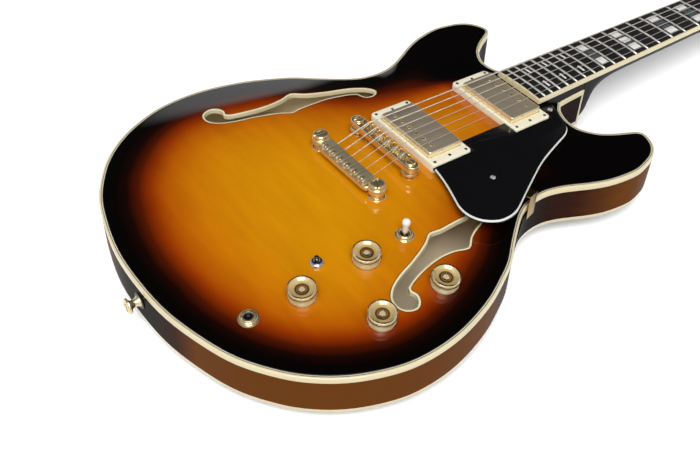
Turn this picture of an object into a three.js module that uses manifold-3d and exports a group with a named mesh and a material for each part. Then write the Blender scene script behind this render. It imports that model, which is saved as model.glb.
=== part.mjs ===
// Semi-hollow electric guitar, lying on its back.
// Drawn with x = 0 on the centre line, y = 0 on the bridge line towards the head, and z = 0 on the
// upper rim of the body. The whole instrument is turned and set down on its support at the end.
import * as THREE from "three";
import { mergeVertices } from "three/addons/utils/BufferGeometryUtils.js";
import Module from "manifold-3d";

const wasm = await Module();
wasm.setup();

// Scale and neck
const scaleLength = 628;
const fretCount = 22;
const stringCount = 6;
const neckAngle = THREE.MathUtils.degToRad(2.83);
const gap = 0.3;
const overrun = 2;

// Distance of a fret from the bridge line
function fretPlace(number) {
  return scaleLength * 2 ** (-number / 12);
}

// Body
const bodyHalfWidth = 193.7;
const bodyLength = 482.5;
const boardPastLastFret = 5.93;
const boardEnd = fretPlace(fretCount) - boardPastLastFret;
const bodyPastBoardEnd = 59.2;
const bodyAhead = boardEnd + bodyPastBoardEnd;
const tailToBridge = bodyLength - bodyAhead;
const tongueEnd = boardEnd + 63.7;
const tongueHalfWidth = 28.4;
const cutawayShare = 0.9057;
const cutawayFloor = cutawayShare * bodyLength - tailToBridge;
const sideDepth = 43;
const sideWall = 9;
const topCrown = 13.6;
const topCrownFallShare = 0.44;
const topThickness = 5.5;
const backCrown = 13;
const backThickness = 4.5;
const backCrownFull = 16;
const ringShares = [1, 0.8, 0.55, 0.3];
const bindingWidth = 4;
const backBindingWidth = 2.4;
const blockHalfWidth = 58.5;
const halfOutlineShares = [
  [0.000, 0.000], [0.212, 0.005], [0.418, 0.024], [0.578, 0.048], [0.723, 0.086], [0.818, 0.122],
  [0.896, 0.165], [0.953, 0.213], [0.990, 0.263], [1.000, 0.315], [0.990, 0.365], [0.963, 0.413],
  [0.924, 0.459], [0.874, 0.501], [0.818, 0.541], [0.738, 0.581], [0.658, 0.624], [0.614, 0.654],
  [0.594, 0.687], [0.595, 0.719], [0.616, 0.748], [0.648, 0.776], [0.684, 0.805], [0.715, 0.837],
  [0.734, 0.872], [0.741, 0.906], [0.727, 0.937], [0.701, 0.966], [0.649, 0.989], [0.578, 1.000],
  [0.539, 0.994], [0.514, 0.978], [0.493, 0.961], [0.467, 0.944], [0.434, 0.927], [0.392, 0.914],
  [0.351, 0.906], [0.310, 0.904],
];
const tongueRootShares = [[0.268, 0.906], [0.232, 0.911], [0.196, 0.919], [0.168, 0.931], [0.151, 0.945]];

// F-holes
const fHoleInnerX = bodyHalfWidth * 0.4078;
const fHoleTailY = -tailToBridge * 0.413;
const fHoleWidth = bodyHalfWidth * 0.3965;
const fHoleLength = bodyLength * 0.337;
const fHoleBinding = 2.2;
const fHoleShares = [
  [0.000, 0.935], [0.031, 0.897], [0.102, 0.879], [0.160, 0.874], [0.208, 0.832], [0.242, 0.766],
  [0.271, 0.695], [0.273, 0.635], [0.277, 0.572], [0.280, 0.509], [0.263, 0.440], [0.339, 0.386],
  [0.406, 0.320], [0.479, 0.232], [0.534, 0.149], [0.599, 0.080], [0.672, 0.033], [0.753, 0.006],
  [0.833, 0.000], [0.905, 0.007], [0.966, 0.029], [1.000, 0.066], [0.991, 0.100], [0.932, 0.130],
  [0.841, 0.143], [0.751, 0.137], [0.667, 0.243], [0.620, 0.366], [0.630, 0.470], [0.677, 0.556],
  [0.572, 0.621], [0.509, 0.680], [0.448, 0.757], [0.404, 0.830], [0.348, 0.902], [0.268, 0.959],
  [0.180, 0.992], [0.091, 1.000], [0.025, 0.975],
];

// Neck, fretboard and nut
const boardTopAtEnd = 17.8;
const boardThickness = 6.2;
const boardRadius = 305;
const boardBinding = 1.7;
const boardHalfWidthAtEnd = 28.55;
const nutHalfWidth = 21.5;
const nutLength = 5;
const boardArcSteps = 3;
const fretWidth = 2.4;
const fretHeight = 1.1;
const tenonHalfWidth = 18.8;
const tenonStart = boardEnd + 1.7;
const tenonDepth = 30;
const heelDepth = 41.5;
const heelCapLength = 10;
const neckThickness = 22.3;
const nutNeckThickness = 20;
const neckArcSteps = 9;

// Headstock and truss rod cover, in the plane of the head's face
const headPitch = THREE.MathUtils.degToRad(14);
const headThickness = 14;
const headLength = 180;
const headHalfWidth = 39;
const headShares = [
  [0.551, 0.000], [0.580, 0.050], [0.740, 0.110], [0.900, 0.160], [0.960, 0.250], [0.950, 0.400],
  [0.930, 0.550], [0.940, 0.700], [0.975, 0.820], [1.000, 0.905], [0.960, 0.945], [0.700, 0.972],
  [0.350, 1.000],
];
const rodCoverStart = 7;
const rodCoverLength = 40;
const rodCoverHalfWidth = 11;
const rodCoverTipHalfWidth = 5;
const rodCoverThickness = 2;

// Tuners, in the plane of the head's face
const tunerFirst = 42;
const tunerPitch = 40;
const tunerX = 26;
const tunersPerSide = stringCount / 2;
const postRadius = 3;
const postHeight = 15;
const bushingRadius = 4.8;
const bushingHeight = 1.6;
const tunerPlateThickness = 1.2;
const tunerPlateHalfWidth = 6;
const housingRadius = 8;
const housingDepth = 8.5;
const keyAxisDepth = 5;
const keyShaftRadius = 2;
const keyShaftLength = 9;
const keyHalfHeight = 7.6;
const keyHalfThickness = 3.4;
const keyLength = 13;

// Strings
const stringRadii = [0.62, 0.5, 0.4, 0.32, 0.26, 0.22];
const stringSides = 6;
const nutSpread = 35;
const bridgeSpread = 52;
const stringHeightAtBridge = 31.3;
const stringHeightOverNut = 1.9;
const nutAboveString = 0.4;

// Pickups and their rings
const neckPickupY = boardEnd - 27.3;
const bridgePickupY = scaleLength * 0.0651;
const neckRingTop = 10.85;
const bridgeRingTop = 18.3;
const ringSlope = 0.075;
const ringHalfWidth = 46.2;
const ringHalfLength = 23;
const ringCorner = 4;
const coverHalfWidth = 35;
const coverHalfLength = 19.2;
const coverCorner = 2.5;
const coverAboveRing = 5.2;
const coverDepth = 20;
const coverClearance = 0.5;
const cavityHalfWidth = 37.5;
const cavityHalfLength = 20.5;
const cavityDepth = 26;
const poleRadius = 2.4;
const poleHeight = 0.6;
const poleOffset = 9.3;
const polePitch = 10.2;

// Bridge
const bridgePostX = 37;
const bridgePostY = -2.4;
const bridgePostTop = 29.2;
const bridgePostRadius = 3;
const bridgePostDepth = 22;
const thumbwheelRadius = 8;
const thumbwheelThickness = 2.6;
const bridgeHalfLength = 45;
const bridgeHalfWidth = 6;
const bridgeLow = 20;
const bridgeHigh = 27.6;
const saddleHalfWidth = 3.2;
const saddleHalfLength = 4.4;
const saddleWaist = 1;

// Tailpiece
const tailpieceY = -42.3;
const tailStudX = 41;
const tailStudTop = 27.7;
const tailStudRadius = 4.4;
const tailStudHeadRadius = 6.6;
const tailStudFlange = 8;
const tailStudDepth = 24;
const tailBarHalfLength = 33;
const tailBarFront = 9;
const tailBarBack = 8.5;
const tailBarLow = 17.5;
const tailBarHigh = 26.8;
const tailEarRadius = 10.5;
const tailEarHeight = 7.4;

// Pickguard and bracket
const guardInnerX = 30;
const guardTailY = -0.3;
const guardWidth = bodyHalfWidth * 0.5214;
const guardLength = boardEnd + 14;
const guardThickness = 3;
const guardBelowRing = 0.5;
const guardShares = [
  [0.188, 0.090], [0.305, 0.075], [0.450, 0.050], [0.594, 0.020], [0.663, 0.006], [0.742, 0.000],
  [0.818, 0.005], [0.901, 0.028], [0.960, 0.065], [0.994, 0.107], [1.000, 0.155], [0.986, 0.200],
  [0.953, 0.246], [0.846, 0.351], [0.674, 0.524], [0.604, 0.604], [0.541, 0.693], [0.485, 0.780],
  [0.440, 0.851], [0.389, 0.896], [0.321, 0.924], [0.159, 0.965], [0.004, 1.000],
];
const guardPostX = 38;
const guardPostY = boardEnd + 3.2;
const guardPostRadius = 3;
const bracketScrewX = bodyHalfWidth * 0.4383;
const bracketScrewY = bodyAhead * 0.2292;
const bracketRimY = bodyAhead * 0.305;
const bracketHalfWidth = 6;
const bracketThickness = 1.5;
const bracketLegDepth = 14;

// Controls: the place of each as shares of the body's half width and of its length behind the bridge
const knobShares = {
  neck_volume: [0.4817, 0.3715],
  neck_tone: [0.4801, 0.6206],
  bridge_volume: [0.7625, 0.2265],
  bridge_tone: [0.7625, 0.4783],
};
const knobPlaces = Object.fromEntries(
  Object.entries(knobShares).map(([name, [across, back]]) => {
    return [name, [across * bodyHalfWidth, -back * tailToBridge]];
  }),
);
const knobAboveTop = 0.9;
const knobHeight = 9.8;
const knobFlangeRadius = 12.4;
const knobFlangeHeight = 3;
const knobWaistRadius = 10.6;
const knobRimRadius = 11.3;
const knobHollowRadius = 8;
const knobHollowDepth = 4.2;
const shaftRadius = 3;
const shaftLength = 17;
const potRadius = 12;
const potDepth = 10;
const potBelowTop = 2;
const bushRadius = 4.7;
const bushBore = 3.3;
const nutRadius = 6.4;
const nutHeight = 2;
const washerHeight = 0.6;

// Selector lever switch and small lever switch
const selectorX = bodyHalfWidth * 0.4662;
const selectorY = -tailToBridge * 0.204;
const selectorNutRadius = 7.2;
const selectorNutHeight = 3.4;
const selectorBushRadius = 5.8;
const selectorBore = 4.2;
const selectorBoxWidth = 17;
const selectorBoxLength = 22;
const selectorBoxDepth = 16;
const selectorPivotDepth = 2;
const selectorLeverRadius = 1.5;
const selectorTipRadius = 3.3;
const selectorTipStart = 7.5;
const selectorReach = 19;
const miniX = bodyHalfWidth * 0.3774;
const miniY = -tailToBridge * 0.5087;
const miniNutRadius = 5.9;
const miniNutHeight = 2.6;
const miniBushRadius = 3.1;
const miniBore = 2.4;
const miniBoxWidth = 8;
const miniBoxLength = 13;
const miniBoxDepth = 10;
const miniPivotDepth = 1;
const miniLeverRadius = 1.2;
const miniTipRadius = 1.7;
const miniReach = 9.5;

// Output jack
const jackX = bodyHalfWidth * 0.4414;
const jackY = -tailToBridge * 0.7992;
const jackNutRadius = 7.4;
const jackNutHeight = 3;
const jackWasherRadius = 9;
const jackBarrelRadius = 4.7;
const jackBore = 3.25;
const jackFrameRadius = 8.6;
const jackFrameDepth = 4;
const jackLength = 22;

// Strap buttons
const strapTailZ = -20;
const strapBaseRadius = 4.8;
const strapWaistRadius = 3.4;
const strapFlangeRadius = 7.4;
const strapHeight = 12.6;
const strapShankRadius = 2.1;
const strapShankLength = 20;

// Colours
const gold = new THREE.MeshStandardMaterial({ color: 0xd4af5a, roughness: 0.25, metalness: 1 });
const nickel = new THREE.MeshStandardMaterial({ color: 0xc8c6c0, roughness: 0.3, metalness: 1 });
const cream = new THREE.MeshStandardMaterial({ color: 0xe8dcb0, roughness: 0.35, metalness: 0 });
const amberTop = new THREE.MeshStandardMaterial({ color: 0xc07a10, roughness: 0.12, metalness: 0 });
const brownSide = new THREE.MeshStandardMaterial({ color: 0x4a2410, roughness: 0.12, metalness: 0 });
const paleWood = new THREE.MeshStandardMaterial({ color: 0xb9a27c, roughness: 0.7, metalness: 0 });
const blackGloss = new THREE.MeshStandardMaterial({ color: 0x15110f, roughness: 0.15, metalness: 0 });
const ebony = new THREE.MeshStandardMaterial({ color: 0x191412, roughness: 0.45, metalness: 0 });
const bone = new THREE.MeshStandardMaterial({ color: 0xe9e2cc, roughness: 0.4, metalness: 0 });
const crystal = new THREE.MeshStandardMaterial({ color: 0xe6d9a8, roughness: 0.1, metalness: 0 });
const whiteTip = new THREE.MeshStandardMaterial({ color: 0xf2eee0, roughness: 0.3, metalness: 0 });
const potMetal = new THREE.MeshStandardMaterial({ color: 0x8d8b86, roughness: 0.4, metalness: 1 });

// The instrument as it is drawn, and the head's face inside it
const instrument = new THREE.Group();
const headFace = new THREE.Group();
instrument.add(headFace);

function addPiece(name, geometry, material, parent = instrument) {
  const mesh = new THREE.Mesh(geometry, material);
  mesh.name = name;
  parent.add(mesh);
  return mesh;
}

// A closed mesh as a solid that can be joined and cut
function solidOf(geometry) {
  const bare = geometry.clone();
  bare.deleteAttribute("normal");
  bare.deleteAttribute("uv");
  const merged = mergeVertices(bare);
  const kept = [];
  for (let i = 0; i < merged.index.count; i += 3) {
    const [a, b, c] = [0, 1, 2].map((k) => merged.index.getX(i + k));
    if (a !== b && b !== c && c !== a) kept.push(a, b, c);
  }
  const vertProperties = new Float32Array(merged.attributes.position.array);
  return new wasm.Manifold(new wasm.Mesh({ numProp: 3, vertProperties, triVerts: new Uint32Array(kept) }));
}

function geometryOf(solid) {
  const mesh = solid.getMesh();
  const geometry = new THREE.BufferGeometry();
  geometry.setAttribute("position", new THREE.BufferAttribute(new Float32Array(mesh.vertProperties), 3));
  geometry.setIndex(new THREE.BufferAttribute(new Uint32Array(mesh.triVerts), 1));
  geometry.computeVertexNormals();
  return geometry;
}

function cut(base, ...tools) {
  return geometryOf(tools.reduce((solid, tool) => solid.subtract(solidOf(tool)), solidOf(base)));
}

function join(...pieces) {
  const [first, ...others] = pieces.map(solidOf);
  return geometryOf(others.reduce((solid, other) => solid.add(other), first));
}

function common(first, second) {
  return geometryOf(solidOf(first).intersect(solidOf(second)));
}

function meshFrom(points, faces) {
  const geometry = new THREE.BufferGeometry();
  geometry.setAttribute("position", new THREE.Float32BufferAttribute(points.flat(), 3));
  geometry.setIndex(faces.flat());
  geometry.computeVertexNormals();
  return geometry;
}

// A box between two corners
function block(low, high) {
  const size = low.map((value, k) => high[k] - value);
  const centre = low.map((value, k) => (high[k] + value) / 2);
  return new THREE.BoxGeometry(...size).translate(...centre);
}

// A shape turned about +Z from a profile of radius and height
function turned(profile, sides) {
  const points = profile.map(([radius, height]) => new THREE.Vector2(radius, height));
  return new THREE.LatheGeometry(points, sides).rotateX(Math.PI / 2);
}

function rod(radius, low, high, sides) {
  return turned([[0, low], [radius, low], [radius, high], [0, high]], sides);
}

function moved(geometry, x, y, z) {
  return geometry.translate(x, y, z);
}

// An outline, with any holes, between two heights that may change from place to place
function slab(outline, top, bottom, holes = []) {
  const loops = [outline, ...holes].map((loop, k) => {
    const turnedRight = THREE.ShapeUtils.isClockWise(loop);
    return turnedRight === (k > 0) ? loop : [...loop].reverse();
  });
  const flat = loops.flat();
  const count = flat.length;
  const upper = flat.map((p) => [p.x, p.y, top(p.x, p.y)]);
  const lower = flat.map((p) => [p.x, p.y, bottom(p.x, p.y)]);
  const points = [...upper, ...lower];
  const faces = [];
  for (const [a, b, c] of THREE.ShapeUtils.triangulateShape(loops[0], loops.slice(1))) {
    const upward = !THREE.ShapeUtils.isClockWise([flat[a], flat[b], flat[c]]);
    const [p, q, r] = upward ? [a, b, c] : [a, c, b];
    faces.push([p, q, r], [p + count, r + count, q + count]);
  }
  let start = 0;
  for (const loop of loops) {
    loop.forEach((_, i) => {
      const here = start + i;
      const next = start + ((i + 1) % loop.length);
      faces.push([here + count, next + count, next], [here + count, next, here]);
    });
    start += loop.length;
  }
  return meshFrom(points, faces);
}

function level(height) {
  return () => height;
}

// A closed outline moved inwards by a distance
function inset(outline, distance) {
  const inward = THREE.ShapeUtils.isClockWise(outline) ? -1 : 1;
  return outline.map((point, i) => {
    const before = outline[(i + outline.length - 1) % outline.length];
    const after = outline[(i + 1) % outline.length];
    const first = point.clone().sub(before).normalize();
    const second = after.clone().sub(point).normalize();
    const normal = new THREE.Vector2(-first.y - second.y, first.x + second.x).normalize();
    const spread = Math.max(normal.dot(new THREE.Vector2(-first.y, first.x)), 1 / 2);
    return point.clone().addScaledVector(normal, (inward * distance) / spread);
  });
}

function mirrored(points) {
  return points.map((p) => new THREE.Vector2(-p.x, p.y)).reverse();
}

// A rectangle with rounded corners
function roundedRectangle(halfWidth, halfLength, corner, cornerSteps = 2) {
  const points = [];
  for (const [sx, sy, turn] of [[1, -1, -1], [1, 1, 0], [-1, 1, 1], [-1, -1, 2]]) {
    for (let i = 0; i <= cornerSteps; i += 1) {
      const angle = ((turn + i / cornerSteps) * Math.PI) / 2;
      const x = sx * (halfWidth - corner) + corner * Math.cos(angle);
      const y = sy * (halfLength - corner) + corner * Math.sin(angle);
      points.push(new THREE.Vector2(x, y));
    }
  }
  return points;
}

function shifted(points, x, y) {
  return points.map((p) => new THREE.Vector2(p.x + x, p.y + y));
}

// Rings of points, joined in turn and capped at both ends
function loft(rings) {
  const count = rings[0].length;
  const faces = [];
  for (let k = 0; k + 1 < rings.length; k += 1) {
    for (let i = 0; i < count; i += 1) {
      const next = (i + 1) % count;
      const [a, b] = [k * count + i, k * count + next];
      faces.push([a, b, b + count], [a, b + count, a + count]);
    }
  }
  const last = (rings.length - 1) * count;
  for (let i = 1; i + 1 < count; i += 1) {
    faces.push([0, i + 1, i], [last, last + i, last + i + 1]);
  }
  return meshFrom(rings.flat(), faces);
}

// Body outline
function bodyPoint([across, along]) {
  return new THREE.Vector2(across * bodyHalfWidth, along * bodyLength - tailToBridge);
}

function symmetricOutline(half) {
  const left = mirrored(half.filter((p) => p.x > gap));
  return [...half, ...left];
}

const halfBody = halfOutlineShares.map(bodyPoint);
const halfRim = [...halfBody, ...tongueRootShares.map(bodyPoint)];
const bodyOutline = symmetricOutline([...halfRim, new THREE.Vector2(tongueHalfWidth, tongueEnd)]);
const archOutline = symmetricOutline([...halfBody, new THREE.Vector2(0, cutawayFloor)]);

// Fretboard plane and widths along the neck
function boardTop(y) {
  return boardTopAtEnd - Math.tan(neckAngle) * (y - boardEnd);
}

function boardUnder(y) {
  return boardTop(y) - boardThickness;
}

function boardHalfWidth(y) {
  const share = (y - boardEnd) / (scaleLength - boardEnd);
  return boardHalfWidthAtEnd + share * (nutHalfWidth - boardHalfWidthAtEnd);
}

function crownDrop(x) {
  return (x * x) / (2 * boardRadius);
}

// The head's face starts behind the nut and leans back
const headFaceY = scaleLength + nutLength;
const headFaceZ = boardUnder(headFaceY) - gap;
const headAngle = neckAngle + headPitch;

// Slope of the support, which meets the arched back and the lower edge of the head's tip
const axisX = new THREE.Vector3(1, 0, 0);
const headTip = new THREE.Vector3(0, headLength, -headThickness).applyAxisAngle(axisX, -headAngle);
const restSlope = (headTip.z + headFaceZ + sideDepth + backCrown) / (headTip.y + headFaceY);

// Share of the way from the bridge line's centre to the edge of the arched part
function edgeShare(x, y) {
  let share = 0;
  archOutline.forEach((a, i) => {
    const b = archOutline[(i + 1) % archOutline.length];
    const [ex, ey] = [b.x - a.x, b.y - a.y];
    const across = x * ey - y * ex;
    if (across === 0) return;
    const reach = (a.x * ey - a.y * ex) / across;
    const along = (a.x * y - a.y * x) / across;
    if (reach > 0 && along >= 0 && along <= 1) share = Math.max(share, 1 / reach);
  });
  return Math.min(share, 1);
}

function topHeight(x, y) {
  const fall = 1 - (topCrownFallShare * Math.max(y, 0)) / cutawayFloor;
  return topCrown * (1 - edgeShare(x, y) ** 2) * fall;
}

// Stands a piece on the arched top, square to its surface there
function onTop(geometry, x, y) {
  const slopeX = (topHeight(x + overrun, y) - topHeight(x - overrun, y)) / (2 * overrun);
  const slopeY = (topHeight(x, y + overrun) - topHeight(x, y - overrun)) / (2 * overrun);
  const upright = new THREE.Vector3(0, 0, 1);
  const square = new THREE.Vector3(-slopeX, -slopeY, 1).normalize();
  const turn = new THREE.Quaternion().setFromUnitVectors(upright, square);
  return moved(geometry.applyQuaternion(turn), x, y, topHeight(x, y));
}

// Height that clears the arched top all round a disc
function seatHeight(x, y, radius) {
  const around = [[x - radius, y], [x + radius, y], [x, y - radius], [x, y + radius]];
  return Math.max(...around.map(([atX, atY]) => topHeight(atX, atY))) + gap;
}

// Arched back, with a flat seat where the instrument rests
function backHeight(x, y) {
  const seat = -sideDepth - backCrown + restSlope * y;
  return Math.max(-sideDepth - backCrownFull * (1 - edgeShare(x, y) ** 2), seat);
}

// An arched body: the outline drawn in by each share, with its upper and lower heights
function arched(outline, top, bottom) {
  const count = outline.length;
  const rings = ringShares.map((share) => outline.map((p) => [p.x * share, p.y * share]));
  const flat = [...rings.flat(), [0, 0]];
  const half = flat.length;
  const upper = flat.map(([x, y]) => [x, y, top(x, y)]);
  const lower = flat.map(([x, y]) => [x, y, bottom(x, y)]);
  const points = [...upper, ...lower];
  const faces = [];
  for (let i = 0; i < count; i += 1) {
    const next = (i + 1) % count;
    faces.push([i + half, next + half, next], [i + half, next, i]);
    for (let k = 0; k < ringShares.length; k += 1) {
      const [a, b] = [k * count + i, k * count + next];
      const inner = k + 1 < ringShares.length;
      const [c, d] = inner ? [a + count, b + count] : [half - 1, half - 1];
      faces.push([a, b, d], [a + half, d + half, b + half]);
      if (inner) faces.push([a, d, c], [a + half, c + half, d + half]);
    }
  }
  return meshFrom(points, faces);
}

// Tools that cut the pockets in the body
function pickupCavity(centreY, extra) {
  const shape = roundedRectangle(cavityHalfWidth + extra, cavityHalfLength + extra, ringCorner);
  return slab(shifted(shape, 0, centreY), level(topCrown + overrun), level(-cavityDepth));
}

function tenonPocket() {
  const halfWidth = tenonHalfWidth + gap;
  return block([-halfWidth, tenonStart - gap, -tenonDepth - gap], [halfWidth, tongueEnd + overrun, topCrown]);
}

function drill(x, y, radius, low, high, sides = 12) {
  return moved(rod(radius, low, high, sides), x, y, 0);
}

const bridgePostPlaces = { bass: [-bridgePostX, bridgePostY], treble: [bridgePostX, bridgePostY] };
const tailStudPlaces = { bass: [-tailStudX, tailpieceY], treble: [tailStudX, tailpieceY] };
const coverTopLimit = topCrown + overrun;

function postDrills() {
  const drilled = (places, radius, depth) => {
    return Object.values(places).map(([x, y]) => drill(x, y, radius + gap, -depth - overrun, coverTopLimit));
  };
  const posts = drilled(bridgePostPlaces, bridgePostRadius, bridgePostDepth);
  return [...posts, ...drilled(tailStudPlaces, tailStudRadius, tailStudDepth)];
}

// F-holes
const fHoleOutline = fHoleShares.map(([across, along]) => {
  return new THREE.Vector2(fHoleInnerX + across * fHoleWidth, fHoleTailY + along * fHoleLength);
});
const fHoleOutlines = { bass: mirrored(fHoleOutline), treble: fHoleOutline };

function makeFHoleBindings() {
  for (const [side, outline] of Object.entries(fHoleOutlines)) {
    const outer = inset(outline, gap);
    const inner = inset(outline, gap + fHoleBinding);
    const under = (x, y) => topHeight(x, y) - topThickness;
    addPiece(`${side}_f_hole_binding`, slab(outer, topHeight, under, [inner]), cream);
  }
}

// Arched top, with its f-holes, pickup openings and holes for the controls
function makeTopPlate() {
  const outline = inset(archOutline, bindingWidth + gap);
  const plate = arched(outline, topHeight, (x, y) => topHeight(x, y) - topThickness);
  const tongueHalf = tongueHalfWidth - bindingWidth - gap;
  const tongueStart = cutawayFloor - 2 * (bindingWidth + gap);
  const low = [-tongueHalf, tongueStart, -topThickness];
  const tongue = block(low, [tongueHalf, tongueEnd - bindingWidth - gap, 0]);
  const holeLow = level(-topThickness - overrun);
  const holes = Object.values(fHoleOutlines).map((loop) => slab(loop, level(coverTopLimit), holeLow));
  const cavities = [neckPickupY, bridgePickupY].map((y) => pickupCavity(y, 0));
  const through = (x, y, radius) => onTop(rod(radius + gap, -topThickness - overrun, overrun, 12), x, y);
  const pots = Object.values(knobPlaces).map(([x, y]) => through(x, y, bushRadius));
  const switches = [
    through(selectorX, selectorY, selectorBushRadius),
    through(miniX, miniY, miniBushRadius),
    through(jackX, jackY, jackBarrelRadius),
  ];
  const plain = join(plate, tongue);
  const opened = cut(plain, ...holes, ...cavities, tenonPocket());
  addPiece("top_plate", cut(opened, ...pots, ...switches, ...postDrills()), amberTop);
}

function makeBackPlate() {
  const outline = inset(archOutline, backBindingWidth + gap);
  const plate = arched(outline, (x, y) => backHeight(x, y) + backThickness, backHeight);
  const tongueHalf = tongueHalfWidth - backBindingWidth - gap;
  const tongueStart = cutawayFloor - 2 * (backBindingWidth + gap);
  const low = [-tongueHalf, tongueStart, -sideDepth];
  const tongue = block(low, [tongueHalf, tongueEnd - backBindingWidth - gap, backThickness - sideDepth]);
  addPiece("back_plate", join(plate, tongue), brownSide);
}

function makeSides() {
  const low = backThickness - sideDepth + gap;
  const ring = slab(bodyOutline, level(-topThickness - gap), level(low), [inset(bodyOutline, sideWall)]);
  const shank = rod(strapShankRadius + gap, -overrun, 2 * sideWall, 12).rotateX(-Math.PI / 2);
  moved(shank, 0, -tailToBridge, strapTailZ);
  addPiece("sides", cut(ring, tenonPocket(), shank), brownSide);
}

function makeBindings() {
  const inner = inset(bodyOutline, bindingWidth);
  const upper = slab(bodyOutline, level(0), level(-topThickness), [inner]);
  addPiece("top_binding", cut(upper, tenonPocket()), cream);
  const backInner = inset(bodyOutline, backBindingWidth);
  const lower = slab(bodyOutline, level(backThickness - sideDepth), level(-sideDepth), [backInner]);
  addPiece("back_binding", lower, cream);
}

// Solid centre block between the top and the back, from the tail to the neck
function makeCentreBlock() {
  const under = (x, y) => topHeight(x, y) - topThickness - gap;
  const over = (x, y) => backHeight(x, y) + backThickness + gap;
  const upper = arched(inset(archOutline, bindingWidth + gap), under, level(-sideDepth - backCrown));
  const lower = arched(inset(archOutline, backBindingWidth + gap), level(topCrown), over);
  const middle = slab(
    inset(archOutline, sideWall + gap),
    level(topCrown),
    level(-sideDepth - backCrown),
  );
  const stripLow = [-blockHalfWidth, -tailToBridge, -sideDepth - backCrown];
  const strip = block(stripLow, [blockHalfWidth, tongueEnd, topCrown]);
  const solid = common(common(common(upper, lower), middle), strip);
  const cavities = [neckPickupY, bridgePickupY].map((y) => pickupCavity(y, 0));
  const shank = rod(strapShankRadius + gap, 0, strapShankLength + overrun, 12).rotateX(-Math.PI / 2);
  moved(shank, 0, -tailToBridge, strapTailZ);
  addPiece("centre_block", cut(solid, ...cavities, tenonPocket(), ...postDrills(), shank), paleWood);
}

// One cross-section of the fretboard, flat below and curved above
function boardSection(y, halfWidth, low, high) {
  const ring = [[-halfWidth, y, low], [halfWidth, y, low]];
  for (let i = 0; i <= boardArcSteps; i += 1) {
    const x = halfWidth * (1 - (2 * i) / boardArcSteps);
    ring.push([x, y, high - crownDrop(x)]);
  }
  return ring;
}

function boardBody(start, end, narrower, low, high) {
  const sections = [end, start].map((y) => {
    return boardSection(y, boardHalfWidth(y) - narrower, boardUnder(y) - low, boardTop(y) + high);
  });
  return loft(sections);
}

function makeFretboard() {
  const start = boardEnd + boardBinding + gap;
  const core = boardBody(start, scaleLength, boardBinding + gap, 0, 0);
  const frets = Array.from({ length: fretCount }, (_, i) => {
    const y = fretPlace(i + 1);
    const halfWidth = boardHalfWidth(y) - boardBinding - gap;
    const wire = [y + fretWidth / 2, y - fretWidth / 2].map((at) => {
      return boardSection(at, halfWidth, boardTop(y) - fretHeight, boardTop(y) + fretHeight);
    });
    return loft(wire);
  });
  addPiece("fretboard", join(core, ...frets), ebony);
  const whole = boardBody(boardEnd, scaleLength, 0, 0, 0);
  const opening = boardBody(start - gap, scaleLength + overrun, boardBinding, overrun, overrun);
  addPiece("fretboard_binding", cut(whole, opening), cream);
}

// Neck cross-section: flat under the fretboard, rounded below
function neckSection(y, halfWidth, depth, squareness) {
  const top = boardUnder(y) - gap;
  const ring = [];
  for (let i = 0; i <= neckArcSteps; i += 1) {
    const angle = (i / neckArcSteps) * Math.PI;
    const across = Math.sign(Math.cos(angle)) * Math.abs(Math.cos(angle)) ** squareness;
    const down = Math.sin(angle) ** squareness;
    ring.push([halfWidth * across, y, top - depth * down]);
  }
  return ring.reverse();
}

function onHead(geometry) {
  return moved(geometry.rotateX(-headAngle), 0, headFaceY, headFaceZ);
}

function headOutline() {
  const right = headShares.map(([across, along]) => {
    return new THREE.Vector2(across * headHalfWidth, along * headLength);
  });
  return [...right, ...mirrored(right)];
}

function eachTuner(action) {
  for (let row = 0; row < tunersPerSide; row += 1) {
    for (const [side, sign] of [["bass", -1], ["treble", 1]]) {
      action(`${side}_${row + 1}`, sign * tunerX, tunerFirst + row * tunerPitch, sign);
    }
  }
}

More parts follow.
